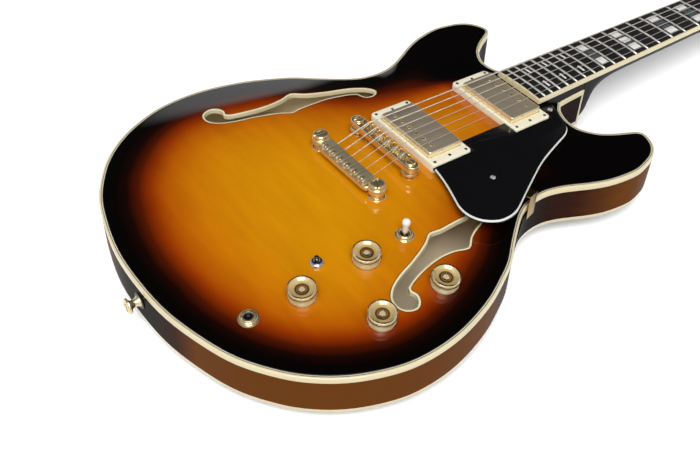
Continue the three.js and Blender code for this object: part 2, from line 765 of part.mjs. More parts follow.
function makeNeck() {
  const start = tongueEnd + gap;
  const capEnd = start + heelCapLength;
  const stations = [
    [start, heelDepth + boardUnder(start), 0.25],
    [capEnd, heelDepth + boardUnder(capEnd), 0.35],
    [capEnd + heelDepth * 0.07, heelDepth * 1.05, 0.45],
    [capEnd + heelDepth * 0.2, heelDepth * 0.8, 0.7],
    [capEnd + heelDepth * 0.43, heelDepth * 0.6, 0.9],
    [capEnd + heelDepth * 0.75, neckThickness - boardThickness + heelDepth * 0.08, 1],
    [capEnd + heelDepth * 1.2, neckThickness - boardThickness, 1],
    [scaleLength, nutNeckThickness - boardThickness, 1],
    [headFaceY, nutNeckThickness - boardThickness, 1],
  ];
  const sections = stations.map(([y, depth, squareness]) => {
    return neckSection(y, boardHalfWidth(y), depth, squareness);
  });
  const shaft = loft(sections.reverse());
  const shelf = slab(
    [
      new THREE.Vector2(boardHalfWidth(tenonStart), tenonStart),
      new THREE.Vector2(boardHalfWidth(capEnd), capEnd),
      new THREE.Vector2(-boardHalfWidth(capEnd), capEnd),
      new THREE.Vector2(-boardHalfWidth(tenonStart), tenonStart),
    ],
    (x, y) => boardUnder(y) - gap,
    level(gap),
  );
  const aboveTop = (x, y) => topHeight(x, y) + gap;
  const cleared = cut(shelf, arched(archOutline, aboveTop, level(-overrun)));
  const tenonTop = (x, y) => boardUnder(y) - gap;
  const tenonShape = roundedRectangle(tenonHalfWidth, (capEnd - tenonStart) / 2, gap, 1);
  const tenonOutline = shifted(tenonShape, 0, (capEnd + tenonStart) / 2);
  const tenon = slab(tenonOutline, tenonTop, level(-tenonDepth));
  const head = onHead(slab(headOutline(), level(0), level(-headThickness)));
  const holes = [];
  const holeLow = -headThickness - overrun;
  eachTuner((name, x, y) => holes.push(onHead(drill(x, y, bushingRadius + gap, holeLow, overrun))));
  const shankY = start + heelCapLength / 2;
  const shankHigh = strapShankLength - heelDepth;
  const shank = drill(0, shankY, strapShankRadius + gap, -heelDepth - overrun, shankHigh);
  addPiece("neck", cut(join(shaft, cleared, tenon, head), ...holes, shank), blackGloss);
}

function stringHeight(y) {
  const atNut = boardTop(scaleLength) + stringHeightOverNut;
  return stringHeightAtBridge + ((atNut - stringHeightAtBridge) * y) / scaleLength;
}

function stringShare(index) {
  return index / (stringCount - 1) - 1 / 2;
}

// Places of one string: over its saddle, over the nut
function stringAt(index, y) {
  const spread = bridgeSpread + ((nutSpread - bridgeSpread) * y) / scaleLength;
  const x = stringShare(index) * spread;
  return [x, y, stringHeight(y) - crownDrop(x)];
}

function makeNut() {
  const high = stringAt(0, scaleLength)[2] + stringRadii[0] + nutAboveString;
  const low = boardUnder(headFaceY) + gap;
  const start = scaleLength + gap;
  const body = block([-nutHalfWidth, start, low], [nutHalfWidth, scaleLength + nutLength, high]);
  const slots = stringRadii.map((radius, i) => {
    const [x, , z] = stringAt(i, scaleLength);
    const slot = radius + gap;
    return block([x - slot, start - overrun, z - slot], [x + slot, headFaceY + overrun, high + overrun]);
  });
  addPiece("nut", cut(body, ...slots), bone);
}

// Truss rod cover on the head's face
function makeRodCover() {
  const end = rodCoverStart + rodCoverLength;
  const outline = [
    new THREE.Vector2(-rodCoverHalfWidth, rodCoverStart),
    new THREE.Vector2(rodCoverHalfWidth, rodCoverStart),
    new THREE.Vector2(rodCoverHalfWidth, rodCoverStart + rodCoverLength / 4),
    new THREE.Vector2(rodCoverTipHalfWidth, rodCoverStart + rodCoverLength * 0.7),
    new THREE.Vector2(rodCoverTipHalfWidth * 0.6, end - rodCoverTipHalfWidth / 3),
    new THREE.Vector2(0, end),
    new THREE.Vector2(-rodCoverTipHalfWidth * 0.6, end - rodCoverTipHalfWidth / 3),
    new THREE.Vector2(-rodCoverTipHalfWidth, rodCoverStart + rodCoverLength * 0.7),
    new THREE.Vector2(-rodCoverHalfWidth, rodCoverStart + rodCoverLength / 4),
  ];
  const cover = slab(outline, level(gap + rodCoverThickness), level(gap));
  addPiece("truss_rod_cover", cover, blackGloss, headFace);
}

// Tuners: a plate with three gear housings on each side, with a post and a key for each string
const plateHigh = -headThickness - gap;
const plateLow = plateHigh - tunerPlateThickness;
const keyAxisZ = plateHigh - keyAxisDepth;
const keyShaftStart = housingRadius / 2;
const postLow = plateHigh - housingDepth / 3;

function makeTunerPlates() {
  for (const [side, sign] of [["bass", -1], ["treble", 1]]) {
    const middle = tunerFirst + ((tunersPerSide - 1) * tunerPitch) / 2;
    const halfLength = ((tunersPerSide - 1) * tunerPitch) / 2 + housingRadius + overrun;
    const strip = roundedRectangle(tunerPlateHalfWidth, halfLength, tunerPlateHalfWidth / 2);
    const pieces = [slab(shifted(strip, sign * tunerX, middle), level(plateHigh), level(plateLow))];
    const bores = [];
    for (let row = 0; row < tunersPerSide; row += 1) {
      const y = tunerFirst + row * tunerPitch;
      const x = sign * tunerX;
      pieces.push(drill(x, y, housingRadius, plateHigh - housingDepth, plateHigh - gap, 8));
      pieces.push(drill(x, y, bushingRadius, plateLow, gap + bushingHeight, 8));
      bores.push(drill(x, y, postRadius + gap, postLow - gap, gap + bushingHeight + overrun, 8));
      const shaft = rod(keyShaftRadius + gap, keyShaftStart - gap, housingRadius + overrun, 8);
      bores.push(moved(shaft.rotateY((sign * Math.PI) / 2), x, y, keyAxisZ));
    }
    addPiece(`${side}_tuner_plate`, cut(join(...pieces), ...bores), gold, headFace);
  }
}

function makeTunerPostsAndKeys() {
  const groove = [postHeight * 0.45, postHeight * 0.7];
  const outer = housingRadius + keyShaftLength;
  eachTuner((name, x, y, sign) => {
    const post = turned(
      [
        [0, postLow],
        [postRadius, postLow],
        [postRadius, groove[0]],
        [postRadius * 0.75, groove[1]],
        [postRadius, postHeight],
        [0, postHeight],
      ],
      8,
    );
    addPiece(`${name}_post`, moved(post, x, y, 0), gold, headFace);
    const stem = rod(keyShaftRadius, keyShaftStart, outer + overrun, 8);
    const button = turned(
      [
        [0, outer],
        [0.6, outer],
        [1, outer + keyLength * 0.45],
        [0.75, outer + keyLength * 0.9],
        [0, outer + keyLength],
      ],
      10,
    ).scale(keyHalfHeight, keyHalfThickness, 1);
    const key = join(stem, button).rotateZ(Math.PI / 2).rotateY((sign * Math.PI) / 2);
    addPiece(`${name}_key`, moved(key, x, y, keyAxisZ), gold, headFace);
  });
}

// Pickups: a metal cover with six pole screws, in a tilted ring that is shaped to the arched top
const pickups = {
  neck: { y: neckPickupY, top: neckRingTop, poles: poleOffset },
  bridge: { y: bridgePickupY, top: bridgeRingTop, poles: -poleOffset },
};

function ringPlane(pickup, rise = 0) {
  return (x, y) => pickup.top + rise - ringSlope * (y - pickup.y);
}

function makePickups() {
  const topShape = arched(archOutline, (x, y) => topHeight(x, y) + gap, level(-coverDepth));
  for (const [name, pickup] of Object.entries(pickups)) {
    const outer = shifted(roundedRectangle(ringHalfWidth, ringHalfLength, ringCorner), 0, pickup.y);
    const halves = [coverHalfWidth + coverClearance, coverHalfLength + coverClearance];
    const opening = shifted(roundedRectangle(...halves, coverCorner), 0, pickup.y);
    const ring = slab(outer, ringPlane(pickup), level(0), [opening]);
    addPiece(`${name}_pickup_ring`, cut(ring, topShape), cream);
    const shape = shifted(roundedRectangle(coverHalfWidth, coverHalfLength, coverCorner), 0, pickup.y);
    const under = ringPlane(pickup, coverAboveRing - coverDepth);
    const cover = slab(shape, ringPlane(pickup, coverAboveRing), under);
    const poles = Array.from({ length: stringCount }, (_, i) => {
      const x = stringShare(i) * polePitch * (stringCount - 1);
      const y = pickup.y + pickup.poles;
      const high = ringPlane(pickup, coverAboveRing)(x, y);
      return drill(x, y, poleRadius, high - overrun, high + poleHeight, 8);
    });
    addPiece(`${name}_pickup`, join(cover, ...poles), gold);
  }
}

// Bridge on two height posts with thumbwheels
function makeBridge() {
  const body = slab(
    shifted(roundedRectangle(bridgeHalfLength, bridgeHalfWidth, bridgeHalfWidth, 4), 0, bridgePostY),
    level(bridgeHigh),
    level(bridgeLow),
  );
  const saddles = stringRadii.map((radius, i) => {
    const [x, , z] = stringAt(i, 0);
    const peak = z - radius - gap;
    const base = bridgeHigh - overrun;
    return loft(
      [x - saddleHalfWidth, x + saddleHalfWidth].map((at) => [
        [at, -saddleHalfLength, base],
        [at, saddleHalfLength, base],
        [at, saddleHalfLength, base + overrun],
        [at, saddleWaist / 2, peak],
        [at, -saddleWaist / 2, peak],
        [at, -saddleHalfLength, base + overrun],
      ]),
    );
  });
  const holes = Object.values(bridgePostPlaces).map(([x, y]) => {
    return drill(x, y, bridgePostRadius + gap, bridgeLow - overrun, bridgeHigh + overrun);
  });
  addPiece("bridge", cut(join(body, ...saddles), ...holes), gold);
  for (const [side, [x, y]] of Object.entries(bridgePostPlaces)) {
    const wheelLow = bridgeLow - gap - thumbwheelThickness;
    const post = turned(
      [
        [0, -bridgePostDepth],
        [bridgePostRadius, -bridgePostDepth],
        [bridgePostRadius, wheelLow],
        [thumbwheelRadius, wheelLow],
        [thumbwheelRadius, wheelLow + thumbwheelThickness],
        [bridgePostRadius, wheelLow + thumbwheelThickness],
        [bridgePostRadius, bridgePostTop],
        [0, bridgePostTop],
      ],
      12,
    );
    addPiece(`${side}_bridge_post`, moved(post, x, y, 0), gold);
  }
}

// Tailpiece: a bar with an ear round each stud
function makeTailpiece() {
  const middle = (tailBarHigh + tailBarLow) / 2;
  const half = (tailBarHigh - tailBarLow) / 2;
  const profile = [
    [-tailBarBack, -half * 0.4],
    [-tailBarBack * 0.6, -half],
    [tailBarFront * 0.6, -half],
    [tailBarFront, -half * 0.3],
    [tailBarFront, half * 0.3],
    [tailBarFront * 0.5, half],
    [-tailBarBack * 0.4, half],
    [-tailBarBack, half * 0.4],
  ];
  const ends = [-tailBarHalfLength, tailBarHalfLength];
  const bar = loft(ends.map((x) => profile.map(([y, z]) => [x, tailpieceY + y, middle + z])));
  const parts = [bar];
  const holes = [];
  for (const [x, y] of Object.values(tailStudPlaces)) {
    parts.push(drill(x, y, tailEarRadius, tailBarLow + gap, tailBarLow + tailEarHeight, 20));
    holes.push(drill(x, y, tailStudRadius + gap, tailBarLow - overrun, tailBarHigh + overrun));
  }
  addPiece("tailpiece", cut(join(...parts), ...holes), gold);
  for (const [side, [x, y]] of Object.entries(tailStudPlaces)) {
    const seat = seatHeight(x, y, tailStudFlange);
    const headLow = tailBarLow + tailEarHeight + gap;
    const stud = turned(
      [
        [0, -tailStudDepth],
        [tailStudRadius, -tailStudDepth],
        [tailStudRadius, seat],
        [tailStudFlange, seat],
        [tailStudFlange, tailBarLow],
        [tailStudRadius, tailBarLow],
        [tailStudRadius, headLow],
        [tailStudHeadRadius, headLow],
        [tailStudHeadRadius, tailStudTop],
        [0, tailStudTop],
      ],
      12,
    );
    addPiece(`${side}_tailpiece_stud`, moved(stud, x, y, 0), gold);
  }
}

// A string as a bent wire through its points
function wire(points, radius) {
  const path = points.map((p) => new THREE.Vector3(...p));
  const rings = path.map((point, i) => {
    const before = path[Math.max(i - 1, 0)];
    const after = path[Math.min(i + 1, path.length - 1)];
    const ahead = after.clone().sub(before).normalize();
    const side = new THREE.Vector3(1, 0, 0).addScaledVector(ahead, -ahead.x).normalize();
    const up = side.clone().cross(ahead);
    return Array.from({ length: stringSides }, (_, k) => {
      const angle = (k / stringSides) * 2 * Math.PI;
      const sideways = point.clone().addScaledVector(side, Math.cos(angle) * radius);
      return sideways.addScaledVector(up, Math.sin(angle) * radius).toArray();
    });
  });
  return loft(rings.reverse());
}

function makeStrings() {
  const tailHeight = (tailBarHigh + tailBarLow) / 2;
  stringRadii.forEach((radius, i) => {
    const bass = i < tunersPerSide;
    const row = bass ? i : stringCount - 1 - i;
    const sign = bass ? -1 : 1;
    const side = bass ? "bass" : "treble";
    const saddle = stringAt(i, 0);
    const nut = stringAt(i, headFaceY);
    const tail = [saddle[0], tailpieceY + tailBarFront + gap + radius, tailHeight];
    const inFace = new THREE.Vector3(
      sign * (tunerX - postRadius - radius - gap),
      tunerFirst + row * tunerPitch,
      postHeight * 0.6,
    );
    const end = inFace.applyAxisAngle(axisX, -headAngle).add(new THREE.Vector3(0, headFaceY, headFaceZ));
    addPiece(`${side}_${row + 1}_string`, wire([tail, saddle, nut, end.toArray()], radius), nickel);
  });
}

// Pickguard, cut round both pickup rings, with a spacer at the neck
function guardTop(x, y) {
  const between = (bridgeRingTop - neckRingTop) / (neckPickupY - bridgePickupY);
  return bridgeRingTop - guardBelowRing - between * (y - bridgePickupY);
}

function guardOutline() {
  const free = guardShares.map(([across, along]) => {
    return new THREE.Vector2(guardInnerX + across * guardWidth, guardTailY + along * guardLength);
  });
  const ringSide = ringHalfWidth + gap;
  const reach = ringHalfLength + gap;
  const corner = (x, y) => new THREE.Vector2(x, y);
  const notches = [
    corner(guardInnerX, neckPickupY + reach),
    corner(ringSide, neckPickupY + reach),
    corner(ringSide, neckPickupY - reach),
    corner(guardInnerX, neckPickupY - reach),
    corner(guardInnerX, bridgePickupY + reach),
    corner(ringSide, bridgePickupY + reach),
    corner(ringSide, free[0].y),
  ];
  return [...free, ...notches];
}

function makePickguard() {
  const under = (x, y) => guardTop(x, y) - guardThickness;
  const plate = slab(guardOutline(), guardTop, under);
  const seat = topHeight(guardPostX, guardPostY) + gap * 2;
  const high = guardTop(guardPostX, guardPostY) - guardThickness / 2;
  const spacer = drill(guardPostX, guardPostY, guardPostRadius, seat, high);
  addPiece("pickguard", join(plate, spacer), blackGloss);
}

// Bracket: a bent strip from under the pickguard to the waist
function makeBracket() {
  const index = halfRim.findIndex((p, i) => i > halfRim.length / 3 && p.y > bracketRimY);
  const [before, after] = [halfRim[index - 1], halfRim[index]];
  const middle = before.clone().add(after).divideScalar(2);
  const along = after.clone().sub(before).normalize();
  const out = new THREE.Vector2(along.y, -along.x);
  const corner = (outward, sideways) => {
    return middle.clone().addScaledVector(out, gap + outward).addScaledVector(along, sideways);
  };
  const legOutline = [
    corner(0, -bracketHalfWidth),
    corner(bracketThickness, -bracketHalfWidth),
    corner(bracketThickness, bracketHalfWidth),
    corner(0, bracketHalfWidth),
  ];
  const armHigh = (x, y) => guardTop(x, y) - guardThickness - gap;
  const armLow = (x, y) => armHigh(x, y) - bracketThickness;
  const leg = slab(legOutline, armHigh, level(-bracketLegDepth));
  const inner = new THREE.Vector2(bracketScrewX, bracketScrewY);
  const inwards = inner.clone().sub(corner(0, 0)).normalize();
  const tip = inner.clone().addScaledVector(inwards, bracketHalfWidth);
  const side = new THREE.Vector2(-inwards.y, inwards.x);
  const armOutline = [
    tip.clone().addScaledVector(side, bracketHalfWidth),
    tip.clone().addScaledVector(side, -bracketHalfWidth),
    corner(bracketThickness, bracketHalfWidth),
    corner(bracketThickness, -bracketHalfWidth),
  ];
  addPiece("pickguard_bracket", join(leg, slab(armOutline, armHigh, armLow)), gold);
}

// Knob with its shaft, over a potentiometer that hangs under the top
function makeControls() {
  for (const [name, [x, y]] of Object.entries(knobPlaces)) {
    const low = knobAboveTop;
    const high = low + knobHeight;
    const flangeTop = low + knobFlangeHeight;
    const hollowTop = low + knobHollowDepth;
    const knob = turned(
      [
        [0, high - shaftLength],
        [shaftRadius, high - shaftLength],
        [shaftRadius, hollowTop],
        [knobHollowRadius, hollowTop],
        [knobHollowRadius, low],
        [knobFlangeRadius, low],
        [knobFlangeRadius, flangeTop],
        [knobWaistRadius, flangeTop + gap],
        [knobRimRadius, high],
        [0, high],
      ],
      16,
    );
    addPiece(`${name}_knob`, onTop(knob, x, y), crystal);
    const bodyHigh = -topThickness - potBelowTop;
    const nutLow = gap;
    const boreLow = high - shaftLength - gap * 2;
    const pot = turned(
      [
        [0, bodyHigh - potDepth],
        [potRadius, bodyHigh - potDepth],
        [potRadius, bodyHigh],
        [bushRadius, bodyHigh],
        [bushRadius, nutLow],
        [nutRadius, nutLow],
        [nutRadius, nutLow + nutHeight],
        [bushBore, nutLow + nutHeight],
        [bushBore, boreLow],
        [0, boreLow],
      ],
      12,
    );
    addPiece(`${name}_pot`, onTop(pot, x, y), potMetal);
  }
}

// A lever switch: a box under the top, a threaded bush through it, a nut above, and a lever in the bore
function makeSwitch(name, sizes, material, tipMaterial) {
  const { x, y, bush, bore, nutSize, nutTall, box, pivotDepth, lever, tip, tipStart, reach } = sizes;
  const [boxWidth, boxLength, boxDepth] = box;
  const boxHigh = -topThickness - potBelowTop;
  const nutHigh = gap + nutTall;
  const housingLow = [-boxWidth / 2, -boxLength / 2, boxHigh - boxDepth];
  const housing = block(housingLow, [boxWidth / 2, boxLength / 2, boxHigh]);
  const sleeve = turned(
    [
      [0, boxHigh - overrun],
      [bush, boxHigh - overrun],
      [bush, gap],
      [nutSize, gap],
      [nutSize, gap + nutTall * 0.6],
      [bush, nutHigh],
      [0, nutHigh],
    ],
    12,
  );
  const opening = rod(bore, -pivotDepth - bore - gap, nutHigh + overrun, 12);
  addPiece(`${name}_switch`, onTop(cut(join(housing, sleeve), opening), x, y), material);
  const ball = bore - gap * 2;
  const arm = turned(
    [
      [0, -ball],
      [ball, 0],
      [lever, ball],
      [lever, tipStart],
      [tip, (tipStart + reach) / 2],
      [tip * 0.8, reach - tip * 0.4],
      [0, reach],
    ],
    10,
  );
  addPiece(`${name}_lever`, onTop(moved(arm, 0, 0, -pivotDepth), x, y), tipMaterial);
}

function makeSwitches() {
  makeSwitch(
    "selector",
    {
      x: selectorX,
      y: selectorY,
      bush: selectorBushRadius,
      bore: selectorBore,
      nutSize: selectorNutRadius,
      nutTall: selectorNutHeight,
      box: [selectorBoxWidth, selectorBoxLength, selectorBoxDepth],
      pivotDepth: selectorPivotDepth,
      lever: selectorLeverRadius,
      tip: selectorTipRadius,
      tipStart: selectorTipStart,
      reach: selectorReach,
    },
    gold,
    whiteTip,
  );
  makeSwitch(
    "mini",
    {
      x: miniX,
      y: miniY,
      bush: miniBushRadius,
      bore: miniBore,
      nutSize: miniNutRadius,
      nutTall: miniNutHeight,
      box: [miniBoxWidth, miniBoxLength, miniBoxDepth],
      pivotDepth: miniPivotDepth,
      lever: miniLeverRadius,
      tip: miniTipRadius,
      tipStart: miniReach / 2,
      reach: miniReach,
    },
    nickel,
    nickel,
  );
}

// Output jack in the top: nut and washer above, sleeve and frame below
function makeJack() {
  const top = gap;
  const frameHigh = -topThickness - potBelowTop;
  const jack = turned(
    [
      [jackBore, top - jackLength],
      [jackBarrelRadius, top - jackLength],
      [jackBarrelRadius, frameHigh - jackFrameDepth],
      [jackFrameRadius, frameHigh - jackFrameDepth],
      [jackFrameRadius, frameHigh],
      [jackBarrelRadius, frameHigh],
      [jackBarrelRadius, top],
      [jackWasherRadius, top],
      [jackWasherRadius, top + washerHeight],
      [jackNutRadius, top + washerHeight],
      [jackNutRadius, top + jackNutHeight],
      [jackBore, top + jackNutHeight],
      [jackBore, top - jackLength],
    ],
    16,
  );
  addPiece("output_jack", onTop(jack, jackX, jackY), gold);
}

// Strap buttons: one in the tail, one under the heel
function strapButton() {
  return turned(
    [
      [0, gap - strapShankLength],
      [strapShankRadius, gap - strapShankLength],
      [strapShankRadius, gap],
      [strapBaseRadius, gap],
      [strapWaistRadius, strapHeight * 0.35],
      [strapWaistRadius, strapHeight * 0.65],
      [strapFlangeRadius, strapHeight * 0.85],
      [strapFlangeRadius, strapHeight],
      [0, strapHeight],
    ],
    12,
  );
}

function makeStrapButtons() {
  const tail = strapButton().rotateX(Math.PI / 2);
  addPiece("tail_strap_button", moved(tail, 0, -tailToBridge, strapTailZ), gold);
  const heel = strapButton().rotateX(Math.PI);
  addPiece("heel_strap_button", moved(heel, 0, tongueEnd + gap + heelCapLength / 2, -heelDepth - gap), gold);
}

makeTopPlate();
makeBackPlate();
makeSides();
makeBindings();
makeCentreBlock();
makeFHoleBindings();
makeNeck();
makeFretboard();
makeNut();
makeRodCover();
makeTunerPlates();
makeTunerPostsAndKeys();
makePickups();
makeBridge();
makeTailpiece();
makeStrings();
makePickguard();
makeBracket();
makeControls();
makeSwitches();
makeJack();
makeStrapButtons();

headFace.rotation.x = -headAngle;
headFace.position.set(0, headFaceY, headFaceZ);
instrument.rotation.x = -Math.atan(restSlope);
instrument.updateMatrixWorld(true);

const bounds = new THREE.Box3().setFromObject(instrument, true);
const centre = bounds.getCenter(new THREE.Vector3());
instrument.position.set(-centre.x, -centre.y, -bounds.min.z);

const guitar = new THREE.Group();
guitar.add(instrument);

export default guitar;
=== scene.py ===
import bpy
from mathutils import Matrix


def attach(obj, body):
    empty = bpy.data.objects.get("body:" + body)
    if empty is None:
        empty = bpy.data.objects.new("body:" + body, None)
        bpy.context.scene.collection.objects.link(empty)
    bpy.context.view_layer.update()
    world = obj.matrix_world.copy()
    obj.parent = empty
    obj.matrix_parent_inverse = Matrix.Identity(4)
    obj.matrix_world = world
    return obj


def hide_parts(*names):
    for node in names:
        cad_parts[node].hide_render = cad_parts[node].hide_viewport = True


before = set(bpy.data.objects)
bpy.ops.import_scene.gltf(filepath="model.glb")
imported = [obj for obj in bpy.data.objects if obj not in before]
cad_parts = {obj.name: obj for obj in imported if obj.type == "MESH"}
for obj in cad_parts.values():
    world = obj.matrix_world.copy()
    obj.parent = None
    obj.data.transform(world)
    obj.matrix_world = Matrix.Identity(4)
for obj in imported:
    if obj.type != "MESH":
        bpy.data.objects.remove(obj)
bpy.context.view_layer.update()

from math import cos, hypot, pi, radians, sin, tan

import bmesh
import bpy
import numpy as np
from mathutils import Matrix, Vector

# Camera: a normal lens above the tail's treble side that looks along the neck.
# The guitar is drawn in millimetres: x across to the treble side, y from the bridge line to the
# head, z up from the body's upper rim. The drawing is then tilted and lifted into the frame.
MILLIMETRE = 0.001
TILT = radians(1.5077178)
DRAWING_PLACE = (0, -0.27075363, 0.05598061)
CAMERA_PLACE = Vector((507.80, -440.81, 573.61))
CAMERA_FORWARD = Vector((-0.55656, 0.44192, -0.70353)).normalized()
CAMERA_RIGHT = Vector((0.60332, 0.79716, 0.02345)).normalized()
tilted = Matrix.Rotation(TILT, 4, "X")
drawn = Matrix.Translation(DRAWING_PLACE) @ tilted @ Matrix.Scale(MILLIMETRE, 4)
camera_lens = bpy.data.cameras.new("camera")
camera_lens.sensor_width = 36
camera_lens.lens = 49.62
camera_lens.clip_start = 0.01
camera_lens.clip_end = 200
camera_up = CAMERA_RIGHT.cross(CAMERA_FORWARD)
camera_axes = Matrix((CAMERA_RIGHT, camera_up, -CAMERA_FORWARD)).transposed().to_4x4()


def placed(name, data):
    """Makes a mesh, a lens or a lamp an object of the scene."""
    made = bpy.data.objects.new(name, data)
    bpy.context.scene.collection.objects.link(made)
    return made


camera = placed("camera", camera_lens)
camera.matrix_world = Matrix.Translation(drawn @ CAMERA_PLACE) @ tilted @ camera_axes
bpy.context.scene.camera = camera


# Floor: a wide sheet of white studio paper under the guitar.
# It is as white as paper and takes the guitar's shadow; a little glow lifts it to plain white.
def tone(code):
    """A colour written as in a paint chart, for the shader."""
    parts = [int(code[k:k + 2], 16) / 255 for k in (0, 2, 4)]
    return tuple(p / 12.92 if p <= 0.04045 else ((p + 0.055) / 1.055) ** 2.4 for p in parts) + (1.0,)


def blank_material(name):
    material = bpy.data.materials.new(name)
    material.use_nodes = True
    material.node_tree.nodes.clear()
    return material, material.node_tree


def node(tree, kind, inputs=None, **settings):
    """A shader node with its settings and with values or links on its inputs."""
    made = tree.nodes.new(kind)
    for key, value in settings.items():
        setattr(made, key, value)
    for key, value in (inputs or {}).items():
        if isinstance(value, bpy.types.NodeSocket):
            tree.links.new(value, made.inputs[key])
        else:
            made.inputs[key].default_value = value
    return made


def ramp(tree, factor, stops, stepped=False):
    """Colours along a factor, from (place, colour) pairs, blended or in clear steps."""
    made = node(tree, "ShaderNodeValToRGB", {"Fac": factor})
    made.color_ramp.interpolation = "CONSTANT" if stepped else "LINEAR"
    elements = made.color_ramp.elements
    for element, (place, code) in zip(elements, (stops[0], stops[-1])):
        element.position = place
        element.color = tone(code)
    for place, code in stops[1:-1]:
        elements.new(place).color = tone(code)
    return made.outputs["Color"]


def noise(tree, scale, detail=3.0, stretch=(1, 1, 1)):
    """Noise in the piece's own place in the frame, drawn out along some axes."""
    place = node(tree, "ShaderNodeTexCoord").outputs["Object"]
    spread = node(tree, "ShaderNodeMapping", {"Vector": place, "Scale": stretch}).outputs[0]
    settings = {"Vector": spread, "Scale": scale, "Detail": detail}
    return node(tree, "ShaderNodeTexNoise", settings).outputs["Fac"]


def combine(tree, kind, first, second):
    """Two values added, multiplied or joined in another way."""
    return node(tree, "ShaderNodeMath", {0: first, 1: second}, operation=kind).outputs[0]


def mesh_of(name, shape):
    """Makes a drawn shape a mesh, which uses the shape up."""
    mesh = bpy.data.meshes.new(name)
    shape.to_mesh(mesh)
    shape.free()
    return mesh


FLOOR_HALF = 40
FLOOR_GLOW = 0.16
paper, tree = blank_material("studio_paper")
paper_tone = ramp(tree, noise(tree, 30), [(0, "f0f0f0"), (1, "f4f4f4")])
paper_matte = node(tree, "ShaderNodeBsdfDiffuse", {"Color": paper_tone, "Roughness": 1.0})
ray = node(tree, "ShaderNodeLightPath").outputs
seen = combine(tree, "MAXIMUM", ray["Is Camera Ray"], ray["Is Glossy Ray"])
seen = combine(tree, "MAXIMUM", seen, ray["Is Transmission Ray"])
glow = node(tree, "ShaderNodeEmission", {"Strength": combine(tree, "MULTIPLY", seen, FLOOR_GLOW)})
both = node(tree, "ShaderNodeAddShader", {0: paper_matte.outputs[0], 1: glow.outputs[0]})
node(tree, "ShaderNodeOutputMaterial", {"Surface": both.outputs[0]})
sheet = bmesh.new()
bmesh.ops.create_grid(sheet, x_segments=2, y_segments=2, size=FLOOR_HALF)
floor_mesh = mesh_of("floor", sheet)
floor_mesh.materials.append(paper)
floor = placed("floor", floor_mesh)

# Light: a soft key from above the camera's side in a dim grey room that is paler behind the camera.
# The room is darker beyond the bass side, where the lacquer mirrors it, and a soft pale strip there
# shows in the lacquer along the bass edge.
ROOM_STRENGTH = 0.42
DARK_STRENGTH = 0.02
DARK_MIDDLE = Vector((-0.55, 0.48, 0.68)).normalized()
DARK_EDGES = (0.72, 0.93)
FILL_STRENGTH = 1.3
FILL_MIDDLE = Vector((0.58, -0.52, 0.62)).normalized()
FILL_EDGES = (0.74, 0.93)
STRIP_STRENGTH = 1.1
STRIP_MIDDLE = Vector((-0.821, 0.489, 0.315)).normalized()
STRIP_ALONG = Vector((0.18, 0.78, -0.60)).normalized()
STRIP_HALF = (0.225, 0.055)
STRIP_EDGES = (0.35, 1.3)
FAR_BEHIND = 9.0
BEHIND_EDGES = (0.0, 0.5)
KEY_STRENGTH = 2.1
KEY_ANGLE = radians(38)
KEY_FROM = Vector((0.45, -0.35, 1.0))
room = bpy.data.worlds.new("room")
room.use_nodes = True
tree = room.node_tree
tree.nodes.clear()
look = node(tree, "ShaderNodeTexCoord").outputs["Generated"]


def facing(direction):
    """How nearly a look into the room faces a direction of the drawing."""
    inputs = {0: look, 1: (tilted.to_3x3() @ direction)[:]}
    return node(tree, "ShaderNodeVectorMath", inputs, operation="DOT_PRODUCT").outputs["Value"]


def smooth_step(value, edges, first, last):
    """A value that goes smoothly from first to last between two edges."""
    ends = {"Value": value, "From Min": edges[0], "From Max": edges[1], "To Min": first, "To Max": last}
    return node(tree, "ShaderNodeMapRange", ends, interpolation_type="SMOOTHSTEP").outputs["Result"]


room_level = smooth_step(facing(DARK_MIDDLE), DARK_EDGES, ROOM_STRENGTH, DARK_STRENGTH)
along = combine(tree, "DIVIDE", facing(STRIP_ALONG), STRIP_HALF[0])
across = combine(tree, "DIVIDE", facing(STRIP_MIDDLE.cross(STRIP_ALONG)), STRIP_HALF[1])
along_square = combine(tree, "MULTIPLY", along, along)
across_square = combine(tree, "MULTIPLY", across, across)
away = combine(tree, "ADD", along_square, across_square)
behind = smooth_step(facing(STRIP_MIDDLE), BEHIND_EDGES, FAR_BEHIND, 0.0)
strip = smooth_step(combine(tree, "ADD", away, behind), STRIP_EDGES, STRIP_STRENGTH, 0.0)
fill = smooth_step(facing(FILL_MIDDLE), FILL_EDGES, 0.0, FILL_STRENGTH)
lit = combine(tree, "ADD", combine(tree, "ADD", room_level, fill), strip)
room_glow = node(tree, "ShaderNodeBackground", {"Strength": lit})
node(tree, "ShaderNodeOutputWorld", {"Surface": room_glow.outputs[0]})
bpy.context.scene.world = room
bpy.context.scene.view_settings.view_transform = "Standard"
key_light = bpy.data.lights.new("key", "SUN")
key_light.energy = KEY_STRENGTH
key_light.angle = KEY_ANGLE
key_lamp = placed("key", key_light)
key_lamp.matrix_world = KEY_FROM.to_track_quat("Z", "Y").to_matrix().to_4x4()

